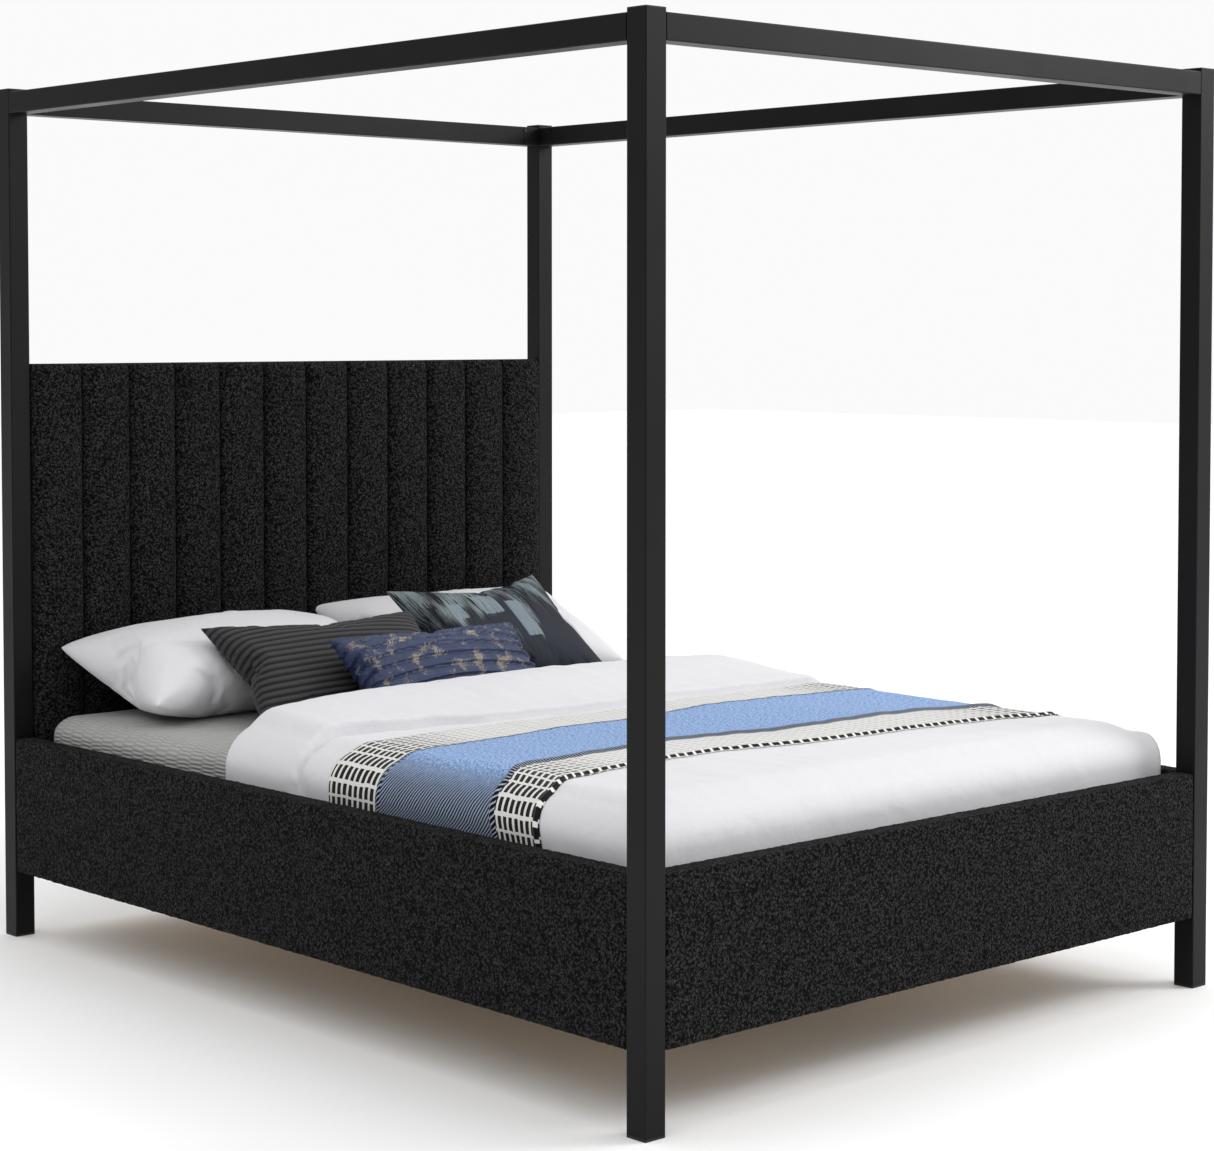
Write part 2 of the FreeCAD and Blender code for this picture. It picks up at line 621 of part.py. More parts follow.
BEAM_MID_Z = f"({SLAT_BOTTOM} - beam_side / 2)"
CROSSBAR_FRONT = "(panel_front - crossbar_deep)"
beam_y = (f"-({POST_IN_Y} - beam_end_gap)", f"{CROSSBAR_FRONT} - beam_end_gap")
beam_loops = []
for half in ("beam_side / 2", "beam_side / 2 - tube_wall"):
    beam_loops.append(rectangle(about("0", half), about(BEAM_MID_Z, half)))
sub_part("centre_beam", prism("beam", "XZ_Plane", beam_loops, *beam_y, "tube_corner / 2", long_edges(1)))

# A hanger is a plate with two screws and a trough that the beam's end drops into
hangers = []
for end_name, end, face, screws in (
    ("foot", -1, POST_IN_Y, hanger_screws_foot), ("head", 1, CROSSBAR_FRONT, hanger_screws_head)
):
    half_trough = "beam_side / 2 + hanger_clearance"
    outer_trough = f"{half_trough} + hanger_wall"
    trough_low = f"{BEAM_MID_Z} - beam_side / 2 - hanger_clearance"
    trough_y = mirrored(end, f"{face} - hanger_reach", face)
    outside = block(
        f"trough_{end_name}", about("0", outer_trough), trough_y, (f"{trough_low} - hanger_wall", BEAM_MID_Z)
    )
    room_y = mirrored(end, f"{face} - hanger_reach - 1", f"{face} - hanger_wall")
    room = block(f"room_{end_name}", about("0", half_trough), room_y, (trough_low, f"{BEAM_MID_Z} + 1"))
    plate_y = mirrored(end, f"{face} - hanger_wall", face)
    plate_z = (f"{trough_low} - hanger_wall", f"{BEAM_MID_Z} + beam_side / 2 - 1")
    plate = block(f"ears_{end_name}", about("0", f"{outer_trough} + hanger_ear"), plate_y, plate_z)
    blank = fuse(f"hanger_blank_{end_name}", cut(f"trough_open_{end_name}", outside, room), plate)
    cylinders = []
    for point, into in screws:
        radius = size("hanger_screw_radius") + 0.2
        cylinders.append(Part.makeCylinder(radius, size("hanger_wall") + 2, point - into, into))
    hangers.append(cut(f"hanger_{end_name}", blank, solids(f"hanger_holes_{end_name}", cylinders)))
group("beam_hangers", hangers)
fasteners(
    "hanger_screws", hanger_screws_foot + hanger_screws_head, size("hanger_screw_radius"),
    size("hanger_screw_length"), size("hanger_screw_head"), size("hanger_screw_head_high")
)


def turned(name, profile, middle_y):
    """A body turned about a vertical line at the bed's middle, from pairs of radius and height."""
    body = doc.addObject("PartDesign::Body", name)
    revolution = body.newObject("PartDesign::Revolution", f"{name}_turned")
    revolution.Profile = draw_outline(body, "XZ_Plane", [profile])
    vertical = [line for line in body.Origin.OriginFeatures if line.Role == "Z_Axis"][0]
    revolution.ReferenceAxis = (vertical, [""])
    revolution.Angle = 360
    body.setExpression("Placement.Base.y", rule(middle_y))
    return body


LEG_TOP = f"({SLAT_BOTTOM} - beam_side)"
BORE_TOP = "(leg_bottom + leg_bore_depth)"
for end_name, end in ENDS:
    middle_y = f"{end} * leg_spread / 2"
    sub_part(f"centre_leg_{end_name}", turned(f"leg_{end_name}", [
        ("leg_bore_radius", "leg_bottom"), ("leg_radius", "leg_bottom"), ("leg_radius", LEG_TOP),
        ("0", LEG_TOP), ("0", BORE_TOP), ("leg_bore_radius", BORE_TOP),
    ], middle_y))
    collar_low = "(pad_high + pad_play)"
    collar_top = f"({collar_low} + collar_high)"
    stud_top = "(leg_bottom + stud_reach)"
    sub_part(f"foot_stud_{end_name}", turned(f"stud_{end_name}", [
        ("0", collar_low), ("collar_radius", collar_low), ("collar_radius", collar_top),
        ("stud_radius", collar_top), ("stud_radius", stud_top), ("0", stud_top),
    ], middle_y))
    sub_part(f"foot_pad_{end_name}", turned(f"pad_{end_name}", [
        ("0", "0"), ("pad_radius", "0"), ("pad_radius", "pad_high / 3"),
        ("pad_radius / 2", "pad_high"), ("0", "pad_high"),
    ], middle_y))


# ---- headboard -------------------------------------------------------------------------------

PANEL_BACK = "(panel_front + panel_thick)"
PADDING_HALF = f"({POST_IN_X} - headboard_side_gap)"
PANEL_HALF = f"({PADDING_HALF} - panel_inset)"
panel_z = ("panel_bottom", "headboard_top - panel_top_inset")
panel = block("panel", about("0", PANEL_HALF), ("panel_front", PANEL_BACK), panel_z)
drilled(
    "headboard_panel", panel, angle_bolts_panel, size("angle_bolt_radius"), size("angle_bolt_length")
)

crossbar_holes = solids("crossbar_holes", [
    Part.makeCylinder(size("hanger_screw_radius") + 0.2, 20, point - into, into)
    for point, into in hanger_screws_head
])
crossbar = block(
    "crossbar", about("0", POST_IN_X), (CROSSBAR_FRONT, "panel_front"),
    ("crossbar_bottom", "crossbar_bottom + crossbar_high")
)
sub_part("headboard_crossbar", cut("crossbar_bored", crossbar, crossbar_holes))

# The padding's front is a row of upright channels, each an arc from valley to valley
padding_half = post_in_x - size("headboard_side_gap")
channel_wide = 2 * padding_half / size("channels")
valley_y = size("headboard_crown") + size("channel_depth")
low_z = size("headboard_pad_bottom")
front_edges = []
for number in range(int(size("channels"))):
    left_x = -padding_half + number * channel_wide
    valley_left = FreeCAD.Vector(left_x, valley_y, low_z)
    crown = FreeCAD.Vector(left_x + channel_wide / 2, size("headboard_crown"), low_z)
    valley_right = FreeCAD.Vector(left_x + channel_wide, valley_y, low_z)
    front_edges.append(Part.Arc(valley_left, crown, valley_right).toShape())
back_right = FreeCAD.Vector(padding_half, panel_back, low_z)
back_left = FreeCAD.Vector(-padding_half, panel_back, low_z)
front_edges.append(Part.makeLine(FreeCAD.Vector(padding_half, valley_y, low_z), back_right))
front_edges.append(Part.makeLine(back_right, back_left))
front_edges.append(Part.makeLine(back_left, FreeCAD.Vector(-padding_half, valley_y, low_z)))
padding_face = Part.Face(Part.Wire(front_edges))
padding_block = solids("padding_block", [padding_face.extrude(Z_AXIS * (size("headboard_top") - low_z))])
panel_room = block(
    "panel_room", about("0", PANEL_HALF), ("panel_front", f"{PANEL_BACK} + 1"),
    ("panel_bottom", "headboard_top - panel_top_inset")
)
sub_part("headboard_upholstery", cut("padding", padding_block, panel_room))

dust_cover_z = ("panel_bottom + dust_cover_inset", "headboard_top - panel_top_inset - dust_cover_inset")
dust_cover = block(
    "dust_cover", about("0", f"{PANEL_HALF} - dust_cover_inset"),
    (PANEL_BACK, f"{PANEL_BACK} + dust_cover_thick"), dust_cover_z
)
drilled(
    "headboard_dust_cover", dust_cover, angle_bolts_panel, size("angle_bolt_radius"), size("angle_wall") * 2
)

# Four steel angles behind the panel tie it to the head posts
ANGLE_FRONT = f"({PANEL_BACK} + dust_cover_thick)"
angle_outline = [
    (POST_IN_X, ANGLE_FRONT), (f"({POST_IN_X} - angle_leg)", ANGLE_FRONT),
    (f"({POST_IN_X} - angle_leg)", f"{ANGLE_FRONT} + angle_wall"),
    (f"({POST_IN_X} - angle_wall)", f"{ANGLE_FRONT} + angle_wall"),
    (f"({POST_IN_X} - angle_wall)", f"{ANGLE_FRONT} + angle_deep"),
    (POST_IN_X, f"{ANGLE_FRONT} + angle_deep"),
]
angles = []
for side_name, side in SIDES:
    for level in ("angle_low", "angle_up"):
        corners = [(f"{side} * {across}", along) for across, along in angle_outline]
        blank = prism(f"{level}_{side_name}_blank", "XY_Plane", [corners], *about(level, "angle_high / 2"))
        near = []
        for point, into in angle_bolts_post + angle_bolts_panel:
            if point.x * side > 0 and abs(point.z - size(level)) < 1:
                near.append(Part.makeCylinder(size("angle_bolt_radius") + 0.2, 6, point - into, into))
        angles.append(cut(f"{level}_{side_name}", blank, solids(f"{level}_{side_name}_holes", near)))
group("headboard_brackets", angles)
fasteners(
    "headboard_bolts", angle_bolts_post + angle_bolts_panel, size("angle_bolt_radius"),
    size("angle_bolt_length"), size("angle_bolt_head"), size("angle_bolt_head_high")
)


# ---- bedding ---------------------------------------------------------------------------------

def soft_block(name, half_x, y, z, radius, rounded):
    """A slab of bedding with rounded edges."""
    outline = rectangle(about("0", half_x), y)
    return prism(name, "XY_Plane", [outline], *z, radius, rounded)


MATTRESS_X = "mattress_wide / 2"
MATTRESS_Y = "mattress_long / 2"
MATTRESS_TOP = "(deck_top + mattress_high)"
mattress_y = about("0", MATTRESS_Y)
mattress_z = ("deck_top", MATTRESS_TOP)
mattress = soft_block("mattress_block", MATTRESS_X, mattress_y, mattress_z, "mattress_corner", every_edge)
sub_part("mattress", mattress)

# The fitted sheet is a skin over the mattress, open underneath
skin_y = about("0", f"{MATTRESS_Y} + cloth_gap + sheet_thick")
skin = soft_block(
    "sheet_skin", f"{MATTRESS_X} + cloth_gap + sheet_thick", skin_y,
    (f"{MATTRESS_TOP} - sheet_drop", SHEET_TOP), "mattress_corner + cloth_gap + sheet_thick", all_but_bottom
)
skin_room = soft_block(
    "sheet_room", f"{MATTRESS_X} + cloth_gap", about("0", f"{MATTRESS_Y} + cloth_gap"),
    (f"{MATTRESS_TOP} - sheet_drop - 1", f"{MATTRESS_TOP} + cloth_gap"),
    "mattress_corner + cloth_gap", all_but_bottom
)
sub_part("fitted_sheet", cut("sheet_shell", skin, skin_room))

# The duvet lies over the sheet, and its edges are tucked down the sides and the foot
covered = f"{MATTRESS_X} + sheet_thick + 2 * cloth_gap"
covered_foot = f"-({MATTRESS_Y} + sheet_thick + 2 * cloth_gap)"
duvet_block = soft_block(
    "duvet_block", DUVET_HALF, (f"{covered_foot} - duvet_flap", "duvet_head"), ("duvet_hem", DUVET_TOP),
    "duvet_corner", all_but_bottom
)
duvet_room = soft_block(
    "duvet_room", covered, (covered_foot, "duvet_head + 2 * duvet_corner"),
    ("duvet_hem - 1", f"{SHEET_TOP} + cloth_gap"),
    "mattress_corner + sheet_thick + 2 * cloth_gap", all_but_bottom
)
sub_part("duvet", cut("duvet_shell", duvet_block, duvet_room))

# The throw lies across the duvet and goes down both sides with it
throw_y = ("throw_foot", "throw_head")
throw_half = f"{DUVET_HALF} + cloth_gap"
throw_z = ("throw_hem", f"{DUVET_TOP} + cloth_gap + throw_thick")
throw_block = soft_block(
    "throw_block", f"{throw_half} + throw_thick", throw_y, throw_z,
    "duvet_corner + cloth_gap + throw_thick", long_edges(1, upper_only=True)
)
throw_room = soft_block(
    "throw_room", throw_half, ("throw_foot - 1", "throw_head + 1"),
    ("throw_hem - 1", f"{DUVET_TOP} + cloth_gap"), "duvet_corner + cloth_gap", long_edges(1, upper_only=True)
)
sub_part("throw", cut("throw_shell", throw_block, throw_room))


def lens(width, thick, edge, across):
    """A face crowned on both sides, with blunt ends; it lies upright along an axis."""
    end = across * (width / 2)
    rim = Z_AXIS * (edge / 2)
    crown = Z_AXIS * (thick / 2)
    upper = Part.Arc(-end + rim, crown, end + rim).toShape()
    lower = Part.Arc(end - rim, -crown, -end - rim).toShape()
    sides = [Part.makeLine(end + rim, end - rim), Part.makeLine(-end - rim, -end + rim)]
    return Part.Face(Part.Wire([upper, sides[0], lower, sides[1]]))


for cushion, *_ in CUSHIONS:
    wide, high, thick, x, y, z, lean, turned_by = [size(f"{cushion}_{cell}") for cell in CUSHION_CELLS]
    along_width = lens(wide, thick + size("cushion_rim") / 2, size("cushion_rim"), X_AXIS)
    along_height = lens(high, thick, size("cushion_rim"), Y_AXIS)
    along_width.translate(Y_AXIS * (-high / 2))
    along_height.translate(X_AXIS * (-wide / 2))
    crowned = along_width.extrude(Y_AXIS * high).common(along_height.extrude(X_AXIS * wide))
    feature = solids(cushion, [crowned])
    leaning = FreeCAD.Rotation(X_AXIS, lean)
    turning = FreeCAD.Rotation(Z_AXIS, turned_by)
    feature.Placement = FreeCAD.Placement(FreeCAD.Vector(x, y, z), turning.multiply(leaning))
    sub_part(cushion, feature)


# ---- check and write -------------------------------------------------------------------------

doc.recompute()
for made in doc.Objects:
    if "Invalid" in made.State or "Error" in made.State:
        raise RuntimeError(f"{made.Label} is {made.State}")
for piece in sub_parts:
    if piece.Shape.isNull() or not piece.Shape.isValid() or not piece.Shape.Solids:
        raise RuntimeError(f"{piece.Label} has no valid shape")

os.makedirs("parts", exist_ok=True)
for piece in sub_parts:
    piece.Shape.exportStep(f"parts/{piece.Label}.step")
print(f"{len(sub_parts)} sub-parts written")
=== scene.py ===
import math

import bmesh
import bpy
from mathutils import Matrix, Vector, noise


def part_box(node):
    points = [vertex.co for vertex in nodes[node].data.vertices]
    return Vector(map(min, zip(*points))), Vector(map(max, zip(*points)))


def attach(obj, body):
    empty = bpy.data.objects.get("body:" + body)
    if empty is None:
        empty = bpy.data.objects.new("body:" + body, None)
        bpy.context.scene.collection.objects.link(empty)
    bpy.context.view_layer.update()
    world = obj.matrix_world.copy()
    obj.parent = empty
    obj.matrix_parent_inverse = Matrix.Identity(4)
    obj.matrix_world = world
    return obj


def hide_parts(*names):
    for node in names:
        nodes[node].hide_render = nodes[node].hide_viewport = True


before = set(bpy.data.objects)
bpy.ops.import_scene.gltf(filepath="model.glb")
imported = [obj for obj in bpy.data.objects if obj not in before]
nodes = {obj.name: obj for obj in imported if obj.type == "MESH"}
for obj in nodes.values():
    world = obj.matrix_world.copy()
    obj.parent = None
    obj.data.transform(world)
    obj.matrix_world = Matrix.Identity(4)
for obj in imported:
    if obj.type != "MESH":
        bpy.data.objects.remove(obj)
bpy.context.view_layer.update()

bpy.ops.object.select_all(action="DESELECT")

# ---------------------------------------------------------------- Studio
# A pale matt floor under a sky of white card, brighter overhead and on the right, with one
# wide soft lamp on the right of the foot end and a weaker one on the left. The camera stands
# off the foot end's left corner, a little above the bedding.
scene = bpy.context.scene
scene.view_settings.view_transform = "Standard"


def linear(hex_code):
    """An sRGB hex colour as the linear values that shading works in."""
    parts = [int(hex_code[i:i + 2], 16) / 255 for i in (1, 3, 5)]
    return (*[c / 12.92 if c < 0.04045 else ((c + 0.055) / 1.055) ** 2.4 for c in parts], 1.0)


def wire(node, inputs):
    """Gives a node's inputs values, or links them to sockets or to nodes' main outputs."""
    for name, value in inputs.items():
        if isinstance(value, bpy.types.Node):
            value = value.outputs[2 if getattr(value, "data_type", "") == "RGBA" else 0]
        if isinstance(value, bpy.types.NodeSocket):
            node.id_data.links.new(value, node.inputs[name])
        else:
            node.inputs[name].default_value = value


def add(tree, kind, inputs=None, **settings):
    """Adds a shader node to a tree, with its settings and its inputs."""
    node = tree.nodes.new("ShaderNode" + kind)
    for name, value in settings.items():
        setattr(node, name, value)
    wire(node, inputs or {})
    return node


def blend(tree, factor, low, high, **settings):
    """Adds a colour mix; a colour is a node, a socket, or an sRGB hex string."""
    low, high = (linear(c) if isinstance(c, str) else c for c in (low, high))
    return add(tree, "Mix", {0: factor, 6: low, 7: high}, data_type="RGBA", **settings)


def noisy(tree, vector, scale, detail, **more):
    """Adds a noise texture."""
    return add(tree, "TexNoise", {"Vector": vector, "Scale": scale, "Detail": detail, **more})


def new_material(name, **values):
    """A material with these fixed values on its Principled shader: (material, tree, shader)."""
    material = bpy.data.materials.new(name)
    material.use_nodes = True
    shader = material.node_tree.nodes["Principled BSDF"]
    wire(shader, {name.replace("_", " "): value for name, value in values.items()})
    return material, material.node_tree, shader


world = bpy.data.worlds.new("white_card_sky")
world.use_nodes = True
sky = world.node_tree
direction = add(sky, "TexCoord")
facing = add(sky, "SeparateXYZ", {"Vector": direction.outputs["Generated"]})
from_right = add(sky, "MapRange", {
    "Value": facing.outputs["X"], "From Min": -0.7, "From Max": 0.45, "To Min": 0.36,
    "To Max": 0.96}, interpolation_type="SMOOTHSTEP")
overhead = add(sky, "MapRange", {
    "Value": facing.outputs["Z"], "From Min": 0.3, "From Max": 0.6},
    interpolation_type="SMOOTHSTEP")
strength = add(sky, "Mix", {0: overhead, 2: from_right, 3: 1.22}, data_type="FLOAT")
wire(sky.nodes["Background"], {"Strength": strength, "Color": (1.0, 1.0, 1.0, 1.0)})
scene.world = world

bed_middle = Vector((0.0, 0.0, 0.7))
for lamp_name, place, width, power in (
    ("key_lamp", (4.6, -4.2, 4.0), 2.4, 165.0),
    ("fill_lamp", (-5.5, -1.5, 3.6), 3.0, 10.0),
):
    light = bpy.data.lights.new(lamp_name, "AREA")
    light.shape = "SQUARE"
    light.size = width
    light.energy = power
    lamp = bpy.data.objects.new(lamp_name, light)
    lamp.location = place
    lamp.rotation_euler = (bed_middle - lamp.location).to_track_quat("-Z", "Y").to_euler()
    scene.collection.objects.link(lamp)

bpy.ops.mesh.primitive_plane_add(size=60.0, location=(0.0, 0.0, 0.0))
floor = bpy.context.active_object
floor.name = "floor"
pale_floor, tree, shader = new_material("pale_matt_floor", Roughness=0.9, Specular_IOR_Level=0.1)
coords = add(tree, "TexCoord").outputs["Object"]
cloudy = noisy(tree, coords, 1.5, 2.0)
pale = blend(tree, cloudy, "#f9f9f9", "#ffffff")
wire(shader, {"Base Color": pale})
floor.data.materials.append(pale_floor)

lens = bpy.data.cameras.new("camera")
lens.lens = 78.99
lens.sensor_width = 36.0
lens.shift_y = -0.1075
lens.clip_end = 200.0
camera = bpy.data.objects.new("camera", lens)
camera.location = (-4.033, -4.496, 1.436)
camera.rotation_euler = (math.radians(87.528), 0.0, math.radians(-42.45))
scene.collection.objects.link(camera)
scene.camera = camera

# ---------------------------------------------------------------- Steel frame
# Square steel tube, welded, cut and drilled: four posts, four canopy rails with the tongues
# that join them, the centre beam and the brackets. It is powder coated satin black, which
# leaves a fine orange peel and slightly uneven gloss.


def paint(material, *names):
    """Gives CAD nodes this one material."""
    for name in names:
        slots = nodes[name].data.materials
        slots.clear()
        slots.append(material)


def bumps(tree, height, strength, distance):
    """Adds a bump node; distance is in metres."""
    return add(tree, "Bump", {"Height": height, "Strength": strength, "Distance": distance})


powder_coat, tree, shader = new_material(
    "powder_coated_steel_satin_black", IOR=1.5, Specular_IOR_Level=0.16)
coords = add(tree, "TexCoord").outputs["Object"]
# orange peel, about 1.5 mm from bump to bump, drawn at 3 mm so that it shows
peel = noisy(tree, coords, 330.0, 2.0, Roughness=0.5)
# dust and handling, in patches about 250 mm across
patches = noisy(tree, coords, 4.0, 5.0, Roughness=0.6)
black = blend(tree, patches, "#08080a", "#101012")
gloss = add(tree, "MapRange", {
    "Value": patches, "From Min": 0.3, "From Max": 0.7, "To Min": 0.36, "To Max": 0.5})
bump = bumps(tree, peel, 0.12, 0.0004)
wire(shader, {"Base Color": black, "Roughness": gloss, "Normal": bump})
paint(powder_coat, "post_foot_left", "post_foot_right", "post_head_left", "post_head_right",
      "canopy_rail_left", "canopy_rail_right", "canopy_rail_foot", "canopy_rail_head",
      "canopy_tongues", "centre_beam", "rail_brackets", "beam_hangers", "headboard_brackets")

# ---------------------------------------------------------------- Plastic ends and legs
# Moulded black polypropylene: the post caps, the floor glides, and the centre legs with
# their round pads. A moulded part has a fine spark-eroded grain and a dull sheen.
moulded, tree, shader = new_material(
    "moulded_black_polypropylene", IOR=1.49, Specular_IOR_Level=0.35)
coords = add(tree, "TexCoord").outputs["Object"]
# spark grain of about 0.5 mm, drawn at 2 mm
grain = noisy(tree, coords, 500.0, 2.0)
tone = blend(tree, grain, "#151516", "#222224")
dull = add(tree, "MapRange", {"Value": grain, "To Min": 0.48, "To Max": 0.62})
bump = bumps(tree, grain, 0.25, 0.0003)
wire(shader, {"Base Color": tone, "Roughness": dull, "Normal": bump})
paint(moulded, "post_caps", "floor_glides", "centre_leg_foot", "centre_leg_head",
      "foot_pad_foot", "foot_pad_head")

# ---------------------------------------------------------------- Screws and bolts
# Steel screws. The canopy's are blackened, to go with the frame, and the hidden ones are
# bright zinc plated, with the faint blue and yellow cast that passivated zinc has.
blackened, tree, shader = new_material("blackened_steel_screws", Metallic=1.0)
coords = add(tree, "TexCoord").outputs["Object"]
rub = noisy(tree, coords, 260.0, 3.0)
tone = blend(tree, rub, "#1b1b1c", "#4a4a4c")
dull = add(tree, "MapRange", {"Value": rub, "To Min": 0.28, "To Max": 0.5})
wire(shader, {"Base Color": tone, "Roughness": dull})
paint(blackened, "canopy_screws")

zinc, tree, shader = new_material("zinc_plated_steel", Metallic=1.0)
coords = add(tree, "TexCoord").outputs["Object"]
cast = noisy(tree, coords, 90.0, 3.0)
tone = blend(tree, cast, "#aeb4bc", "#cfcbbd")
dull = add(tree, "MapRange", {"Value": cast, "To Min": 0.25, "To Max": 0.42})
wire(shader, {"Base Color": tone, "Roughness": dull})
paint(zinc, "rail_bolts", "slat_screws", "hanger_screws", "headboard_bolts",
      "foot_stud_foot", "foot_stud_head")

# ---------------------------------------------------------------- Timber
# Planed pine: the slats and the headboard's crossbar run across the bed, the side rails'
# boards and cleats along it. The headboard's panel is poplar plywood. Planed softwood has
# long dark late-wood lines and paler early wood between. The rails' boards are stained
# black, so that nothing pale shows beside the mattress.
across = {"slat_%02d" % i for i in range(1, 13)} | {"headboard_crossbar"}
along = {"cleat_left", "cleat_right"}
rails = {"rail_board_left", "rail_board_right"}
for label, names, squeeze, early, late in (
    ("planed_pine_across", across, (0.05, 1.0, 1.0), "#e2c490", "#c9985a"),
    ("planed_pine_along", along, (1.0, 0.05, 1.0), "#e2c490", "#c9985a"),
    ("black_stained_pine_across", {"rail_board_foot"}, (0.05, 1.0, 1.0), "#1c1a19", "#111010"),
    ("black_stained_pine_along", rails, (1.0, 0.05, 1.0), "#1c1a19", "#111010"),
):
    pine, tree, shader = new_material(label, IOR=1.52, Specular_IOR_Level=0.3)
    coords = add(tree, "TexCoord").outputs["Object"]
    lie = add(tree, "Mapping", {
        "Vector": coords, "Scale": squeeze, "Rotation": (0.0, 0.03, 0.02)})
    warp = noisy(tree, lie, 9.0, 2.0)
    shifted = add(tree, "VectorMath", {
        0: warp.outputs["Color"], 1: (0.05, 0.05, 0.05), 2: lie}, operation="MULTIPLY_ADD")
    # growth rings 4 to 6 mm apart
    rings = add(tree, "TexWave", {
        "Vector": shifted, "Scale": 26.0, "Distortion": 3.0, "Detail": 2.0, "Detail Scale": 1.2},
        wave_type="RINGS", rings_direction="SPHERICAL")
    fibre = noisy(tree, lie, 420.0, 2.0)
    wood = blend(tree, rings.outputs["Fac"], early, late)
    streaked = blend(tree, 0.25, wood, fibre.outputs["Color"], blend_type="MULTIPLY")
    dull = add(tree, "MapRange", {"Value": rings.outputs["Fac"], "To Min": 0.62, "To Max": 0.5})
    bump = bumps(tree, fibre, 0.2, 0.0004)
    wire(shader, {"Base Color": streaked, "Roughness": dull, "Normal": bump})
    paint(pine, *sorted(names))

plywood, tree, shader = new_material("poplar_plywood", IOR=1.52, Specular_IOR_Level=0.3)
coords = add(tree, "TexCoord").outputs["Object"]
lie = add(tree, "Mapping", {"Vector": coords, "Scale": (1.0, 1.0, 0.08)})
face_veneer = noisy(tree, lie, 60.0, 5.0, Distortion=0.6)
# the plies show on the edges as layers 2 mm thick
plies = add(tree, "TexWave", {
    "Vector": coords, "Scale": 80.0, "Distortion": 0.4}, bands_direction="Y")
veneer = blend(tree, face_veneer, "#dcc6a0", "#bf9d6c")
layered = blend(tree, 0.3, veneer, plies.outputs["Color"], blend_type="MULTIPLY")
dull = add(tree, "MapRange", {"Value": face_veneer, "To Min": 0.55, "To Max": 0.7})
wire(shader, {"Base Color": layered, "Roughness": dull})
paint(plywood, "headboard_panel")

# ---------------------------------------------------------------- Dust cloth
# Spunbonded polypropylene stapled over the headboard's back: black felt-like sheet, matt,
# with a grid of small welded points.
dust_cloth, tree, shader = new_material(
    "spunbonded_polypropylene_black", IOR=1.49, Specular_IOR_Level=0.2)
coords = add(tree, "TexCoord").outputs["Object"]
# welds 1.5 mm apart, drawn at 5 mm
welds = add(tree, "TexVoronoi", {"Vector": coords, "Scale": 200.0, "Randomness": 0.25})
fibres = noisy(tree, coords, 55.0, 6.0, Distortion=1.0)
tone = blend(tree, fibres, "#101011", "#262628")
dull = add(tree, "MapRange", {"Value": welds, "To Min": 0.7, "To Max": 0.9})
bump = bumps(tree, welds, 0.4, 0.0006)
wire(shader, {"Base Color": tone, "Roughness": dull, "Normal": bump})
paint(dust_cloth, "headboard_dust_cover")

# ---------------------------------------------------------------- Rail covers
# The side rails and the foot rail are pine boards wrapped in foam and black boucle, a
# curly looped-yarn cloth that is pulled tight and stapled underneath. The foam rounds the
# edges and swells a little towards the mattress; the loops make a low, lumpy nap.


def calc(tree, operation, *values):
    """Adds a maths node."""
    return add(tree, "Math", dict(enumerate(values)), operation=operation)


boucle, tree, shader = new_material(
    "boucle_looped_yarn_black", Roughness=0.95, Specular_IOR_Level=0.06, Sheen_Weight=0.05,
    Sheen_Roughness=0.6, Sheen_Tint=linear("#8a8a8c"))
coords = add(tree, "TexCoord").outputs["Object"]
# the yarn wanders, so its curls look like short bent strokes about 8 mm long
wander = noisy(tree, coords, 90.0, 1.0)
bent = add(tree, "VectorMath", {
    0: wander.outputs["Color"], 1: (0.012, 0.012, 0.012), 2: coords},
    operation="MULTIPLY_ADD")
# loops 5 to 6 mm apart
loops = add(tree, "TexVoronoi", {"Vector": bent, "Scale": 175.0, "Randomness": 1.0}, feature="F1")
fluff = noisy(tree, coords, 190.0, 3.0, Distortion=1.5)
raised = calc(tree, "MULTIPLY_ADD", loops, -0.7, fluff)
# the nap's hollows are painted near-black and its loop tops painted grey: painted shade and
# highlight that follow the nap's height
nap_shade_and_highlight = add(tree, "MapRange", {"Value": raised, "From Min": 0.06, "From Max": 0.46})
tone = blend(tree, nap_shade_and_highlight, "#040404", "#3a3a3b")
bump = bumps(tree, raised, 0.9, 0.0035)
wire(shader, {"Base Color": tone, "Normal": bump})


def smooth_step(x):
    """0 below 0, 1 above 1, and a smooth rise between."""
    x = min(1.0, max(0.0, x))
    return x * x * (3.0 - 2.0 * x)


def nap(point, size=0.011):
    """The height of the looped nap at a point, from about -1 to 1."""
    return noise.noise(point / size) + 0.6 * noise.noise(point * 2.1 / size + Vector((5, 9, 2)))


def apply(piece, modifier):
    """Bakes one modifier into its piece's mesh."""
    bpy.context.view_layer.objects.active = piece
    piece.select_set(True)
    bpy.ops.object.modifier_apply(modifier=modifier.name)
    piece.select_set(False)


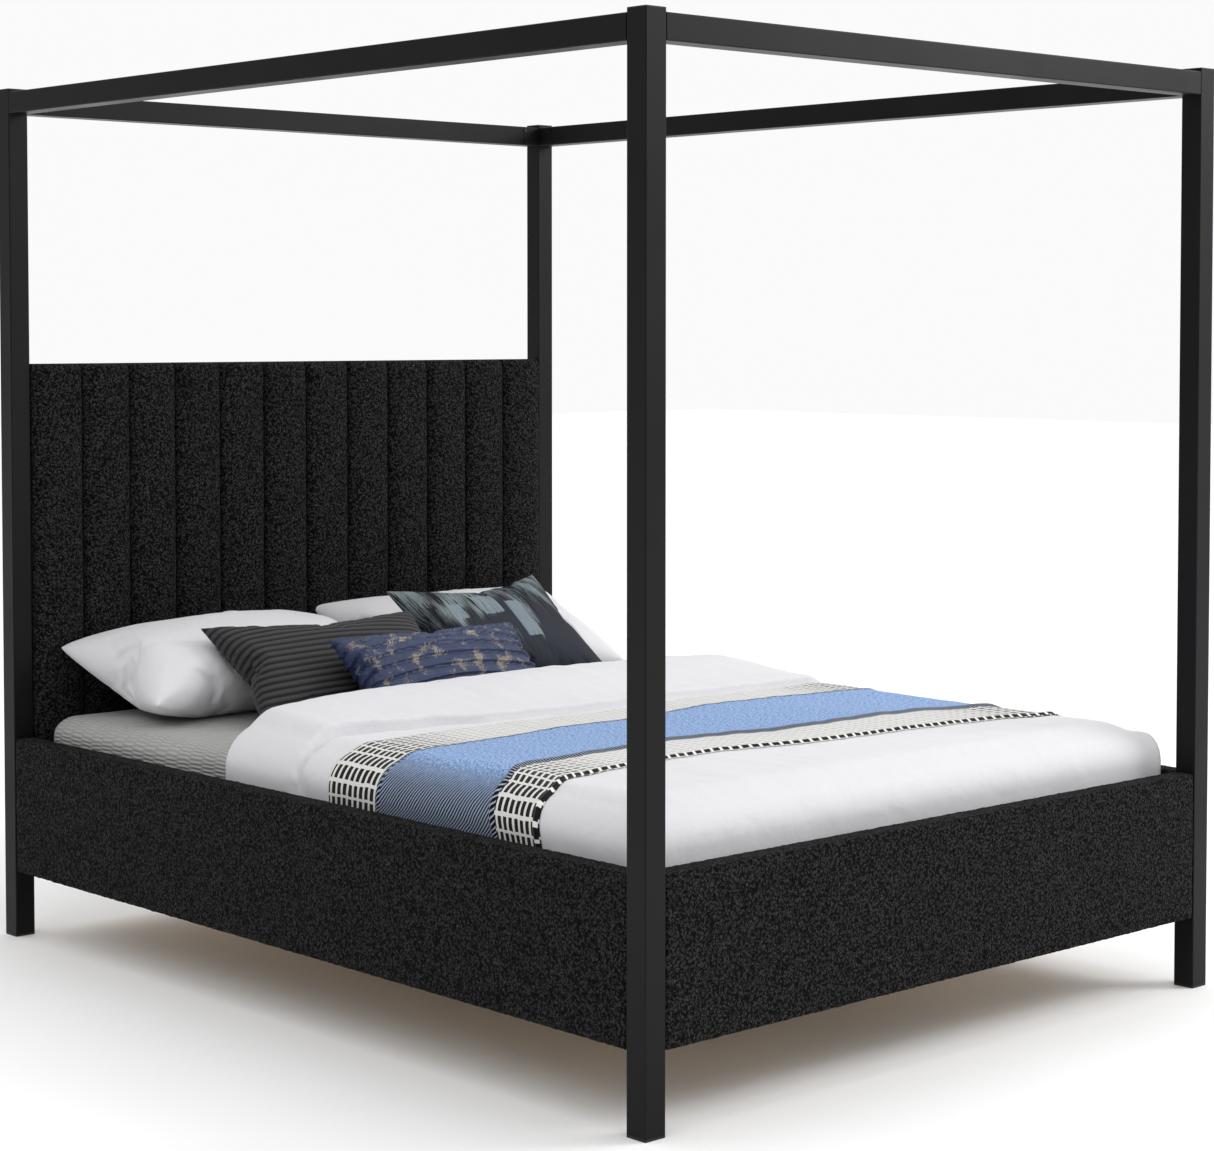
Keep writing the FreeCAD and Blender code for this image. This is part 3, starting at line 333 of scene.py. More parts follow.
for side in ("left", "right", "foot"):
    node = "rail_cover_" + side
    mesh = nodes[node].data.copy()
    cover = bpy.data.objects.new("boucle_cover_" + side, mesh)
    scene.collection.objects.link(cover)
    mesh.materials.clear()
    mesh.materials.append(boucle)
    shape = bmesh.new()
    shape.from_mesh(mesh)
    bmesh.ops.remove_doubles(shape, verts=shape.verts, dist=0.00002)
    shape.to_mesh(mesh)
    shape.free()
    remesh = cover.modifiers.new("foam", "REMESH")
    remesh.mode = "VOXEL"
    remesh.voxel_size = 0.0056
    remesh.use_smooth_shade = True
    apply(cover, remesh)
    low, high = (Vector(corner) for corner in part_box(node))
    board_low, board_high = (Vector(corner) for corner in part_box("rail_board_" + side))
    inner = {"left": (0, high.x, 1.0), "right": (0, low.x, -1.0), "foot": (1, high.y, 1.0)}[side]
    run = 1 - inner[0]
    mesh = cover.data
    normals = [v.normal.copy() for v in mesh.vertices]
    for vertex, normal in zip(mesh.vertices, normals):
        p = vertex.co
        gap = max(max(board_low[k] - p[k], p[k] - board_high[k]) for k in range(3))
        if gap < 0.003:
            continue
        at_run = (p[run] - low[run]) / (high[run] - low[run])
        at_rise = (p.z - low.z) / (high.z - low.z)
        ends = smooth_step(at_run / 0.03) * smooth_step((1.0 - at_run) / 0.03)
        swell = math.sqrt(max(0.0, 1.0 - (2.0 * at_rise - 1.0) ** 4)) * ends
        near = smooth_step(1.0 - (abs(p[inner[0]] - inner[1]) - 0.003) / 0.006)
        p[inner[0]] += inner[2] * 0.0085 * swell * near
        vertex.co = p + normal * (0.0011 * nap(p) + 0.0006 * swell)
    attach(cover, "frame")
    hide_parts(node)

# ---------------------------------------------------------------- Headboard
# A plywood panel with twelve upright foam channels under the same black boucle. The cloth
# is sewn down between the channels, so each crowns out and meets the next in a tight,
# deep seam; it is drawn over the top and the sides and stapled behind.


def face_out(shape):
    """Turns a closed bmesh's faces outwards."""
    bmesh.ops.recalc_face_normals(shape, faces=shape.faces)
    if shape.calc_volume(signed=True) < 0.0:
        bmesh.ops.reverse_faces(shape, faces=shape.faces)


def woven(name, rows, material, uvs=None, lining=None, capped=False):
    """A smooth mesh through rows of points. A lining, as many rows behind, is joined to it
    all round; capped closes the outer ring with one flat face instead."""
    count, wide = len(rows), len(rows[0])
    points = [p for row in rows for p in row]
    quads = [(i * wide + j, i * wide + j + 1, (i + 1) * wide + j + 1, (i + 1) * wide + j)
             for i in range(count - 1) for j in range(wide - 1)]
    ring = ([j for j in range(wide)] + [i * wide + wide - 1 for i in range(1, count)]
            + [(count - 1) * wide + j for j in range(wide - 2, -1, -1)]
            + [i * wide for i in range(count - 2, 0, -1)])
    if lining is not None:
        behind = len(points)
        points += [p for row in lining for p in row]
        quads += [tuple(behind + k for k in reversed(quad)) for quad in quads]
        quads += [(b, a, behind + a, behind + b) for a, b in zip(ring, ring[1:] + ring[:1])]
    if capped:
        quads.append(tuple(reversed(ring)))
    mesh = bpy.data.meshes.new(name)
    mesh.from_pydata([tuple(p) for p in points], [], quads)
    if uvs is not None:
        flat = [uv for row in uvs for uv in row]
        layer = mesh.uv_layers.new(name="cloth")
        for loop in mesh.loops:
            layer.data[loop.index].uv = flat[loop.vertex_index % len(flat)]
    if lining is not None or capped:
        shape = bmesh.new()
        shape.from_mesh(mesh)
        face_out(shape)
        shape.to_mesh(mesh)
        shape.free()
    mesh.shade_smooth()
    mesh.materials.append(material)
    piece = bpy.data.objects.new(name, mesh)
    scene.collection.objects.link(piece)
    return piece


low, high = (Vector(corner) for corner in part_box("headboard_upholstery"))
channel_count = 12
channel = (high.x - low.x) / channel_count
seam_y, back_y, panel_y = 1.061, high.y, 1.0755
# across: (x, distance from the nearest seam as a share of half a channel, y of a side layer)
columns = [(low.x + 0.0075, 1.0, "end"), (low.x + 0.0075, 1.0, back_y),
           (low.x + 0.002, 1.0, back_y), (low.x, 1.0, back_y - 0.002), (low.x, 1.0, panel_y)]
for k in range(channel_count):
    for step in range(0 if k == 0 else 1, 25):
        t = math.sin(math.pi / 2 * (step / 12 - 1))
        columns.append((low.x + (k + 0.5 + t / 2) * channel, abs(t), 0.0))
columns += [(high.x, 1.0, panel_y), (high.x, 1.0, back_y - 0.002),
            (high.x - 0.002, 1.0, back_y), (high.x - 0.0075, 1.0, back_y),
            (high.x - 0.0075, 1.0, "end")]
# up: (z, how far the front is set back, y of a top layer)
top_round, bottom_round = 0.020, 0.010
levels = [(low.z, 0.0, "end")]
levels += [(low.z + bottom_round * (1 - math.sin(a)), bottom_round * (1 - math.cos(a)), 0.0)
           for a in (1.57, 1.1, 0.7, 0.35)]
rise = high.z - low.z - top_round - bottom_round
levels += [(low.z + bottom_round + rise * j / 195, 0.0, 0.0) for j in range(196)]
levels += [(high.z - top_round * (1 - math.sin(a)), top_round * (1 - math.cos(a)), 0.0)
           for a in (0.25, 0.5, 0.8, 1.1, 1.4, 1.57)]
levels += [(high.z, 0.02, panel_y), (high.z, 0.02, back_y - 0.002),
           (high.z - 0.002, 0.02, back_y), (high.z - 0.0115, 0.02, back_y),
           (high.z - 0.0115, 0.02, "end")]
rows = []
for z, set_back, top_layer in levels:
    row = []
    for x, t, side_layer in columns:
        if "end" in (side_layer, top_layer):
            row.append(Vector((x, panel_y, z)))
            continue
        crown = (1.0 - t ** 3.0) ** 0.5
        y = seam_y - (seam_y - low.y) * crown + set_back + 0.006 * smooth_step((t - 0.97) / 0.03)
        if side_layer == 0.0 and top_layer == 0.0:
            here = Vector((x, 0.3, z))
            y += 0.0011 * nap(here) + 0.0016 * crown * noise.noise(here * 7.0)
            x += 0.0012 * noise.noise(Vector((x * 9.0, 4.0, z * 11.0)))
        row.append(Vector((x, max(y, side_layer, top_layer), z)))
    rows.append(row)
headboard = woven("headboard_channels", rows, boucle, capped=True)
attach(headboard, "frame")
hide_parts("headboard_upholstery")

# ---------------------------------------------------------------- Mattress
# A sprung mattress in pale damask ticking, quilted round its border, with a tape edge sewn
# on top and bottom. It is nearly all under the bedding; the border shows from below.
ticking, tree, shader = new_material(
    "damask_ticking_white", Roughness=0.8, Specular_IOR_Level=0.25)
coords = add(tree, "TexCoord").outputs["Object"]
# damask figure about 30 mm across, over yarn drawn at 2 mm
figure = add(tree, "TexVoronoi", {
    "Vector": coords, "Scale": 32.0, "Smoothness": 0.6}, feature="SMOOTH_F1")
yarn = noisy(tree, coords, 480.0, 2.0)
tone = blend(tree, figure, "#f1f0ec", "#dcdbd6")
bump = bumps(tree, yarn, 0.3, 0.0006)
wire(shader, {"Base Color": tone, "Normal": bump})

low, high = (Vector(corner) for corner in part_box("mattress"))
corner = 0.06
outline = []
straight_x, straight_y = high.x - corner, high.y - corner
for cx, cy, turn, length in ((straight_x, -straight_y, -90, 2 * straight_y),
                             (straight_x, straight_y, 0, 2 * straight_x),
                             (-straight_x, straight_y, 90, 2 * straight_y),
                             (-straight_x, -straight_y, 180, 2 * straight_x)):
    for k in range(9):
        a = math.radians(turn + 90 * k / 8)
        outline.append((Vector((cx, cy, 0)), Vector((math.cos(a), math.sin(a), 0))))
    ahead = Vector((math.cos(a + math.pi / 2), math.sin(a + math.pi / 2), 0))
    steps = int(length / 0.022)
    for k in range(1, steps):
        outline.append((outline[-k][0] + ahead * (length * k / steps), outline[-1][1]))
# up the border: (how far in from the side, z), with a roll of tape at each edge
edge = 0.035
profile = [(edge + 0.06, low.z)]
profile += [(edge * (1 - math.sin(a)), low.z + edge * (1 - math.cos(a))) for a in (0.2, 0.6, 1.0)]
tape = [(0.0115, 0.0), (0.0065, 0.0035), (0.0065, 0.0095), (0.0115, 0.013)]
profile += [(inset, low.z + 0.022 + up) for inset, up in tape]
border = high.z - low.z - 2 * 0.037
profile += [(0.0012 - 0.0012 * math.sin(math.pi * k / 14), low.z + 0.037 + border * k / 14)
            for k in range(15)]
profile += [(inset, high.z - 0.022 - up) for inset, up in reversed(tape)]
profile += [(edge * (1 - math.sin(a)), high.z - edge * (1 - math.cos(a))) for a in (1.0, 0.6, 0.2)]
profile += [(edge + 0.06, high.z)]
rows = []
for inset, z in profile:
    row = []
    for k, (centre, out) in enumerate(outline):
        quilted = 0.003 * abs(math.sin(math.pi * k / 6)) if abs(z - 0.395) < 0.085 else 0.0
        row.append(centre + out * (corner - inset - 0.003 + quilted) + Vector((0, 0, z)))
    rows.append(row + row[:1])
mattress = woven("mattress_quilted", rows, ticking)
shape = bmesh.new()
shape.from_mesh(mattress.data)
bmesh.ops.remove_doubles(shape, verts=shape.verts, dist=0.00001)
bmesh.ops.holes_fill(shape, edges=[e for e in shape.edges if e.is_boundary], sides=0)
face_out(shape)
shape.to_mesh(mattress.data)
shape.free()
mattress.data.shade_smooth()
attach(mattress, "frame")
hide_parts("mattress")

# ---------------------------------------------------------------- Fitted sheet
# A pale grey seersucker sheet stretched over the mattress. The cloth is woven with slack
# stripes, so it lies in columns of short, slightly wavy ridges with flatter lines between.
# At the uncovered head end the soft edge swells out to the rails and the headboard.
seersucker, tree, shader = new_material(
    "seersucker_cotton_pale_grey", Roughness=0.85, Specular_IOR_Level=0.2, Sheen_Weight=0.1)
coords = add(tree, "TexCoord").outputs["UV"]
drift = noisy(tree, coords, 14.0, 2.0)
moved = add(tree, "VectorMath", {
    0: drift.outputs["Color"], 1: (0.011, 0.011, 0.0), 2: coords},
    operation="MULTIPLY_ADD")
places = add(tree, "SeparateXYZ", {"Vector": moved})
# columns 44 mm wide, each with ridges 9 mm apart, half a ridge out of step with the next
column = calc(tree, "DIVIDE", places.outputs["Y"], 0.044)
number = calc(tree, "FLOOR", column)
within = calc(tree, "FRACT", column)
ridge = calc(tree, "DIVIDE", places.outputs["X"], 0.009)
stepped = calc(tree, "MULTIPLY_ADD", number, 0.5, ridge)
wave = calc(tree, "PINGPONG", stepped, 0.5)
middle = calc(tree, "PINGPONG", within, 0.5)
full = add(tree, "MapRange", {
    "Value": middle, "From Min": 0.02, "From Max": 0.22, "To Min": 0.15, "To Max": 1.0},
    interpolation_type="SMOOTHSTEP")
puffed = calc(tree, "MULTIPLY", wave, full)
# the ridge tops are painted lighter and the hollows and flat lines between painted darker: painted
# highlight and shade along the ridges
tone = blend(tree, puffed, "#9a9a98", "#c2c1bf")
bump = bumps(tree, puffed, 1.0, 0.005)
wire(shader, {"Base Color": tone, "Normal": bump})


# the sheet's outside: half its width and length, its top, and how far its edge is rounded
sheet_side, sheet_end, sheet_top, edge_radius = 0.7654, 1.0194, 0.5234, 0.038
edge_z = 0.4854                             # where the rounding ends
flat_side, flat_end = 0.7274, 0.9814        # where it begins


def over_mattress(a, b, side=sheet_side, end=sheet_end, top=sheet_top, radius=edge_radius):
    """Where the point (a, b) of a cloth laid flat over the bed comes to rest, and which way
    it faces there: flat on top, round the edge, and then straight down."""
    past_a = math.copysign(max(0.0, abs(a) - (side - radius)), a)
    past_b = math.copysign(max(0.0, abs(b) - (end - radius)), b)
    past = max(abs(past_a), abs(past_b))
    place = Vector((a - past_a, b - past_b, top - radius))
    if past == 0.0:
        return place + Vector((0, 0, radius)), Vector((0, 0, 1))
    out = Vector((past_a, past_b, 0)).normalized()
    turned = min(past / radius, math.pi / 2)
    facing = out * math.sin(turned) + Vector((0, 0, math.cos(turned)))
    place += facing * radius
    place.z -= max(0.0, past - radius * math.pi / 2)
    return place, facing


def marks(flat_to, drop, spacing, radius=edge_radius, round_steps=8):
    """Distances from the middle of a cloth to its hem, closer together round the edge."""
    quarter = radius * math.pi / 2
    out = [flat_to * k / round(flat_to / spacing) for k in range(round(flat_to / spacing))]
    out += [flat_to + quarter * k / round_steps for k in range(round_steps)]
    hang = max(2, round(drop / spacing))
    return out + [flat_to + quarter + drop * k / hang for k in range(hang + 1)]


sheet_hem_z = 0.331
half_a = marks(sheet_side - edge_radius, edge_z - sheet_hem_z, 0.014)
half_b = marks(sheet_end - edge_radius, edge_z - sheet_hem_z, 0.014)
all_a = [-a for a in reversed(half_a[1:])] + half_a
all_b = [-b for b in reversed(half_b[1:])] + half_b
rows, behind, uvs = [], [], []
for b in all_b:
    row, under, flat = [], [], []
    for a in all_a:
        place, facing = over_mattress(a, b)
        ease = 0.0007 * noise.noise(Vector((a * 6, b * 6, 1)))
        ease += 0.013 * smooth_step((sheet_top - place.z) / 0.045) * smooth_step((b - 0.33) / 0.2)
        row.append(place + facing * (ease - 0.0002))
        under.append(place - facing * 0.0016)
        flat.append((a, b))
    rows.append(row)
    behind.append(under)
    uvs.append(flat)
sheet = woven("fitted_sheet_seersucker", rows, seersucker, uvs, lining=behind)
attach(sheet, "frame")
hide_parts("fitted_sheet")

# ---------------------------------------------------------------- Duvet
# A white cotton percale duvet with a soft filling. Its head end is folded back on itself
# in a deep roll, its sides and foot are tucked between the mattress and the rails, and
# small puckers gather along the folded edge's seam.
percale, tree, shader = new_material(
    "cotton_percale_white", Roughness=0.8, Specular_IOR_Level=0.2, Sheen_Weight=0.08)
coords = add(tree, "TexCoord").outputs["Object"]
# soft creases 20 to 60 mm apart over thread drawn at 2.5 mm
creases = noisy(tree, coords, 14.0, 4.0, Roughness=0.45, Distortion=0.5)
threads = noisy(tree, coords, 400.0, 1.0)
tone = blend(tree, threads, "#d2d2d5", "#dddde0")
soft = bumps(tree, creases, 0.35, 0.012)
fine = add(tree, "Bump", {"Height": threads, "Strength": 0.1, "Distance": 0.0005, "Normal": soft})
wire(shader, {"Base Color": tone, "Normal": fine})


def drawn_line(points, x):
    """A smooth line through a few (x, y) points, level beyond its ends."""
    if x <= points[0][0]:
        return points[0][1]
    for (x0, y0), (x1, y1) in zip(points, points[1:]):
        if x <= x1:
            return y0 + (y1 - y0) * smooth_step((x - x0) / (x1 - x0))
    return points[-1][1]


# where the folded-back part's seam lies, from the left hem to the right one
fold_seam = [(-0.87, -0.005), (-0.66, 0.036), (-0.46, 0.004), (-0.30, -0.045), (0.10, -0.062),
             (0.87, -0.078)]
roll_size, duvet_head = 0.055, 0.304
duvet_hem_z, throw_hem_z = 0.406, 0.442


def tucked(a, b):
    """1 on top of the bed, falling to 0 where the duvet goes down between bed and rail."""
    past = max(abs(a) - flat_side, -b - flat_end)
    return 1.0 - smooth_step((past + 0.05) / 0.115)


def duvet_thickness(a, b, folded):
    """How thick the duvet lies over the sheet; folded is 1 where it lies double."""
    on_top = tucked(a, b)
    crown = 1.0 - min(1.0, abs(a) / 0.76) ** 3
    single = 0.0095 + on_top * (0.042 + 0.008 * crown)
    toward_roll = smooth_step((b + 0.06) / 0.30)
    double = 0.0185 + on_top * (0.056 + toward_roll * (0.012 + 0.026 * crown))
    thick = single + (double - single) * folded
    thick += on_top * 0.0055 * noise.noise(Vector((a * 3.1, b * 2.6, 3)))
    thick += (0.25 + 0.75 * on_top) * 0.0022 * noise.noise(Vector((a * 11, b * 6, 7)))
    # soft folds across the top, running from the foot to the head
    thick += on_top * 0.0016 * noise.noise(Vector((a * 26 + b * 4, b * 5, 2)))
    # puckers beside the seam, strongest over the bed's edges
    beside = math.exp(-abs(b - drawn_line(fold_seam, a)) / 0.026)
    gathered = 0.3 + 0.7 * smooth_step((abs(a) - 0.42) / 0.2)
    thick += 0.0085 * beside * gathered * folded * noise.noise(Vector((a * 62, b * 17, 5)))
    # each foot corner is squared out, with a pleat beside it
    past_a, past_b = abs(a) - flat_side, -b - flat_end
    if past_a > 0 and past_b > 0:
        angle = math.atan2(past_b, past_a)
        deep = smooth_step(max(past_a, past_b) / 0.05)
        squared = math.sin(2 * angle) ** 1.5 * smooth_step(max(past_a, past_b) / 0.03)
        thick += (0.018 + 0.014 * on_top) * squared
        thick += deep * (0.009 * math.exp(-((angle - 1.0) / 0.16) ** 2)
                         - 0.008 * math.exp(-((angle - 0.62) / 0.1) ** 2))
    return thick


half_a = marks(flat_side, edge_z - duvet_hem_z, 0.0095, round_steps=10)
all_a = [-a for a in reversed(half_a[1:])] + half_a
half_b = marks(flat_end, edge_z - duvet_hem_z, 0.0095, round_steps=10)
duvet_rows = []        # (row kind, value): the roll, the fold, the seam's step, the rest
duvet_rows += [("roll", math.pi / 2 * (1 - k / 10)) for k in range(10)]
duvet_rows += [("fold", k / 28) for k in range(28)]
duvet_rows += [("step", k) for k in range(6)]
duvet_rows += [("rest", k / 92) for k in range(1, 93)]
duvet_rows += [("drop", -b) for b in half_b if b > flat_end + 0.001]
rows, behind = [], []
for kind, value in duvet_rows:
    row, under = [], []
    for a in all_a:
        seam = drawn_line(fold_seam, a)
        crest = duvet_head - roll_size - 0.012 * (abs(a) / 0.87) ** 2
        if kind == "roll":
            b = crest + roll_size * math.sin(value)
            thick = 0.0025 + (duvet_thickness(a, crest, 1.0) - 0.0025) * math.cos(value)
        elif kind == "fold":
            b = crest + (seam + 0.010 - crest) * value
            thick = duvet_thickness(a, b, 1.0)
        elif kind == "step":
            b = seam + (0.0065, 0.0040, 0.0018, 0.0010, -0.0040, -0.016)[value]
            thick = duvet_thickness(a, b, (0.95, 0.85, 0.55, -0.30, -0.42, -0.10)[value])
        elif kind == "rest":
            b = seam - 0.018 + (-flat_end - seam + 0.018) * value
            thick = duvet_thickness(a, b, 0.0)
        else:
            b = value
            thick = duvet_thickness(a, b, 0.0)
        place, facing = over_mattress(a, b)
        row.append(place + facing * max(0.0022, thick))
        under.append(place + facing * 0.0010)
    rows.append(row)
    behind.append(under)
duvet = woven("duvet_folded_back", rows, percale, lining=behind)
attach(duvet, "frame")
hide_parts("duvet")

# ---------------------------------------------------------------- Throw
# A woven throw laid across the foot half of the bed and tucked in at both sides. Its middle
# band is brushed blue melange wool with a twill that shows where the cloth hangs, its grooves
# and ribs painted there as shade and highlight; on each side of that is an open net of white
# cord over black, and black stitching edges it all.
# what follows is in metres of cloth: across the bed first, then from its head side
net_end, blue_end, throw_end = 0.165, 0.525, 0.672
wool, tree, shader = new_material(
    "brushed_wool_blue_and_cord_net", Roughness=0.92, Specular_IOR_Level=0.12, Sheen_Weight=0.15,
    Sheen_Roughness=0.5)
coords = add(tree, "TexCoord").outputs["UV"]
shake = noisy(tree, coords, 42.0, 1.0)
handmade = add(tree, "VectorMath", {
    0: shake.outputs["Color"], 1: (0.004, 0.004, 0.0), 2: coords},
    operation="MULTIPLY_ADD")
exact = add(tree, "SeparateXYZ", {"Vector": coords})
loose = add(tree, "SeparateXYZ", {"Vector": handmade})
# net: black shows 11 by 17 mm between cords, every 17.5 mm and every 22.5 mm
column = calc(tree, "DIVIDE", loose.outputs["Y"], 0.0175)
column_part = calc(tree, "FRACT", column)
line = calc(tree, "DIVIDE", loose.outputs["X"], 0.0225)
line_part = calc(tree, "FRACT", line)
in_column = calc(tree, "COMPARE", column_part, 0.5, 0.31)
in_line = calc(tree, "COMPARE", line_part, 0.5, 0.38)
gap = calc(tree, "MULTIPLY", in_column, in_line)
cord_noise = noisy(tree, coords, 420.0, 2.0)
cord = blend(tree, cord_noise, "#c2c1be", "#f1f0ed")
# the raised cords hide most of the black where the net lies flat
left_or_right = calc(tree, "ABSOLUTE", exact.outputs["X"])
opened = add(tree, "MapRange", {
    "Value": left_or_right, "From Min": 0.44, "From Max": 0.72}, interpolation_type="SMOOTHSTEP")
under_cord = blend(tree, opened, "#bfbfbe", "#101012")
net = blend(tree, gap, cord, under_cord)
# blue: melange flecks 3 to 6 mm long on top, and on the hanging sides a twill every 8.5 mm
# whose grooves and ribs are painted shade and highlight
stretched = add(tree, "Mapping", {
    "Vector": coords, "Rotation": (0.0, 0.0, 0.75), "Scale": (120.0, 260.0, 1.0)})
flecks = noisy(tree, stretched, 1.0, 3.0, Roughness=0.75)
fleck_part = add(tree, "MapRange", {"Value": flecks, "From Min": 0.38, "From Max": 0.62})
melange = blend(tree, fleck_part, "#365f9e", "#a9c8ee")
slant = calc(tree, "MULTIPLY_ADD", exact.outputs["X"], -1.15, loose.outputs["Y"])
twill = calc(tree, "DIVIDE", slant, 0.0085)
twill_part = calc(tree, "FRACT", twill)
rib = calc(tree, "PINGPONG", twill_part, 0.5)
groove = add(tree, "MapRange", {
    "Value": rib, "From Min": 0.22, "From Max": 0.31}, interpolation_type="SMOOTHSTEP")
# the twill's grooves are painted near-black and its ribs pale blue-grey: painted shade and
# highlight, shown only where the cloth hangs
ribbed = blend(tree, groove, "#080c16", "#8f9eb6")
hanging = add(tree, "MapRange", {
    "Value": left_or_right, "From Min": 0.690, "From Max": 0.765},
    interpolation_type="SMOOTHSTEP")
blue = blend(tree, hanging, melange, ribbed)
in_blue = calc(
    tree, "COMPARE", exact.outputs["Y"], (net_end + blue_end) / 2, (blue_end - net_end) / 2)
cloth = blend(tree, in_blue, net, blue)
# slanting whipstitch over both edges of the blue, and black tacks along the outer edge
stitch_line = calc(tree, "MULTIPLY_ADD", exact.outputs["Y"], -0.9, exact.outputs["X"])
stitch = calc(tree, "DIVIDE", stitch_line, 0.0078)
stitch_part = calc(tree, "FRACT", stitch)
stitch_on = calc(tree, "LESS_THAN", stitch_part, 0.68)
stitching = blend(tree, stitch_on, "#a4aebf", "#0c0e16")
tack = calc(tree, "DIVIDE", exact.outputs["X"], 0.024)
tack_part = calc(tree, "FRACT", tack)
tack_on = calc(tree, "LESS_THAN", tack_part, 0.7)
tacks = blend(tree, tack_on, "#efece6", "#141416")
shown = cloth
for edge_at, half_wide, edge_colour in (
    (net_end, 0.0045, stitching), (blue_end, 0.0085, stitching),
    (throw_end - 0.010, 0.0075, tacks), (0.004, 0.004, cord),
):
    on_edge = calc(tree, "COMPARE", exact.outputs["Y"], edge_at, half_wide)
    shown = blend(tree, on_edge, shown, edge_colour)
wire(shader, {"Base Color": shown})
cord_height = calc(tree, "SUBTRACT", 1.0, gap)
rib_height = calc(tree, "MULTIPLY", groove, hanging)
blue_height = calc(tree, "MULTIPLY_ADD", flecks, 0.8, rib_height)
height = add(tree, "Mix", {0: in_blue, 2: cord_height, 3: blue_height}, data_type="FLOAT")
bump = bumps(tree, height, 0.8, 0.002)
wire(shader, {"Normal": bump})

# how far along the bed each edge of the bands lies, from the left hem to the right one
band_lines = (
    (0.0, [(-0.84, -0.080), (-0.60, -0.093), (-0.20, -0.104), (0.30, -0.106), (0.84, -0.088)]),
    (net_end, [(-0.84, -0.253), (-0.60, -0.262), (-0.20, -0.250), (0.30, -0.222), (0.84, -0.272)]),
    (blue_end, [(-0.84, -0.628), (-0.62, -0.556), (-0.22, -0.546), (0.12, -0.606),
                (0.52, -0.590), (0.84, -0.662)]),
    (throw_end, [(-0.84, -0.758), (-0.62, -0.708), (-0.30, -0.698), (0.06, -0.758),
                 (0.40, -0.768), (0.84, -0.836)]),
)
half_a = marks(flat_side, edge_z - throw_hem_z, 0.0085, round_steps=10)
all_a = [-a for a in reversed(half_a[1:])] + half_a
rows, behind, uvs = [], [], []
edges = ((net_end, 0.0025), (blue_end, 0.0065), (throw_end - 0.010, 0.0035))
throw_rows = {round(throw_end * k / 84, 4) for k in range(85)}
throw_rows |= {round(edge + k * 0.0025, 4) for edge, _ in edges for k in range(-4, 5)}
for v in sorted(throw_rows):
    corded = sum(high * math.exp(-((v - edge) / 0.005) ** 2) for edge, high in edges)
    row, under, flat = [], [], []
    for a in all_a:
        for (v0, line0), (v1, line1) in zip(band_lines, band_lines[1:]):
            if v <= v1 + 1e-9:
                share = (v - v0) / (v1 - v0)
                b = drawn_line(line0, a) * (1 - share) + drawn_line(line1, a) * share
                break
        lift = duvet_thickness(a, b, 0.0)
        if b > drawn_line(fold_seam, a) - 0.03:
            lift += 0.001
        place, facing = over_mattress(a, b)
        rim = smooth_step(min(v, throw_end - v) / 0.012)
        row.append(place + facing * (lift + 0.0022 + 0.0022 * rim + corded
                                     + 0.0009 * noise.noise(Vector((a * 30, b * 30, 8)))))
        under.append(place + facing * (lift + 0.0008))
        flat.append((a, v))
    rows.append(row)
    behind.append(under)
    uvs.append(flat)
throw = woven("throw_blue_and_net", rows, wool, uvs, lining=behind)
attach(throw, "frame")
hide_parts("throw")

# ---------------------------------------------------------------- Pillows
# Two white cotton pillows side by side against the headboard. Each is a slip sewn round
# three sides and stuffed, so it crowns in the middle, its sides draw in, and its corners
# stand out as small ears.


def stuffed(name, material, width, height, thick, cells, pressure, frames, start=0.64,
            slack=0.0, full=0.6):
    """A cushion lying flat round the origin: two panels joined round the edge, blown up by
    cloth simulation, and brought to its size. Its UV map is the panels' own metres."""
    across, up = cells
    rows, behind, uvs = [], [], []
    for j in range(up + 1):
        row, under, flat = [], [], []
        for i in range(across + 1):
            x, y = 2 * i / across - 1, 2 * j / up - 1
            z = thick / 2 * start * max(0.0, (1 - x ** 4) * (1 - y ** 4)) ** full
            row.append(Vector((x * width / 2, y * height / 2, z)))
            under.append(Vector((x * width / 2, y * height / 2, -z)))
            flat.append((x * width / 2, y * height / 2))
        rows.append(row)
        behind.append(under)
        uvs.append(flat)
    piece = woven(name, rows, material, uvs, lining=behind)
    shape = bmesh.new()
    shape.from_mesh(piece.data)
    bmesh.ops.remove_doubles(shape, verts=shape.verts, dist=0.0001)
    bmesh.ops.dissolve_degenerate(shape, edges=shape.edges, dist=0.0001)
    face_out(shape)
    shape.to_mesh(piece.data)
    shape.free()
    cloth = piece.modifiers.new("filling", "CLOTH")
    cloth.settings.quality = 5
    cloth.settings.mass = 0.2
    cloth.settings.tension_stiffness = 14.0
    cloth.settings.compression_stiffness = 9.0
    cloth.settings.shear_stiffness = 4.0
    cloth.settings.bending_stiffness = 0.12
    cloth.settings.air_damping = 2.0
    cloth.settings.use_pressure = True
    cloth.settings.uniform_pressure_force = pressure
    cloth.settings.shrink_min = -slack
    cloth.settings.effector_weights.gravity = 0.0
    cloth.point_cache.frame_start, cloth.point_cache.frame_end = 1, frames
    for frame_number in range(1, frames + 1):
        scene.frame_set(frame_number)
    apply(piece, cloth)
    scene.frame_set(1)
    points = [v.co for v in piece.data.vertices]
    for axis, size in enumerate((width, height, thick)):
        lowest, highest = min(p[axis] for p in points), max(p[axis] for p in points)
        for p in points:
            p[axis] = ((p[axis] - lowest) / (highest - lowest) - 0.5) * size
    finer = piece.modifiers.new("finer", "SUBSURF")
    finer.levels = finer.render_levels = 1
    apply(piece, finer)
    return piece


def leaning(centre, lean, turn):
    """The pose of a cushion leant back by lean degrees and turned, at its place."""
    return (Matrix.Translation(centre) @ Matrix.Rotation(math.radians(turn), 4, "Z")
            @ Matrix.Rotation(math.radians(lean), 4, "X"))


def lean_and_rest(piece, centre, lean, turn=0.0, floor_z=0.5262, wall_y=1.036):
    """Puts a cushion in its place, and flattens it where it would go into the mattress or the
    headboard."""
    pose = leaning(centre, lean, turn)
    for vertex in piece.data.vertices:
        p = pose @ vertex.co
        p.z = max(p.z, floor_z)
        p.y = min(p.y, wall_y)
        vertex.co = p
    piece.data.update()


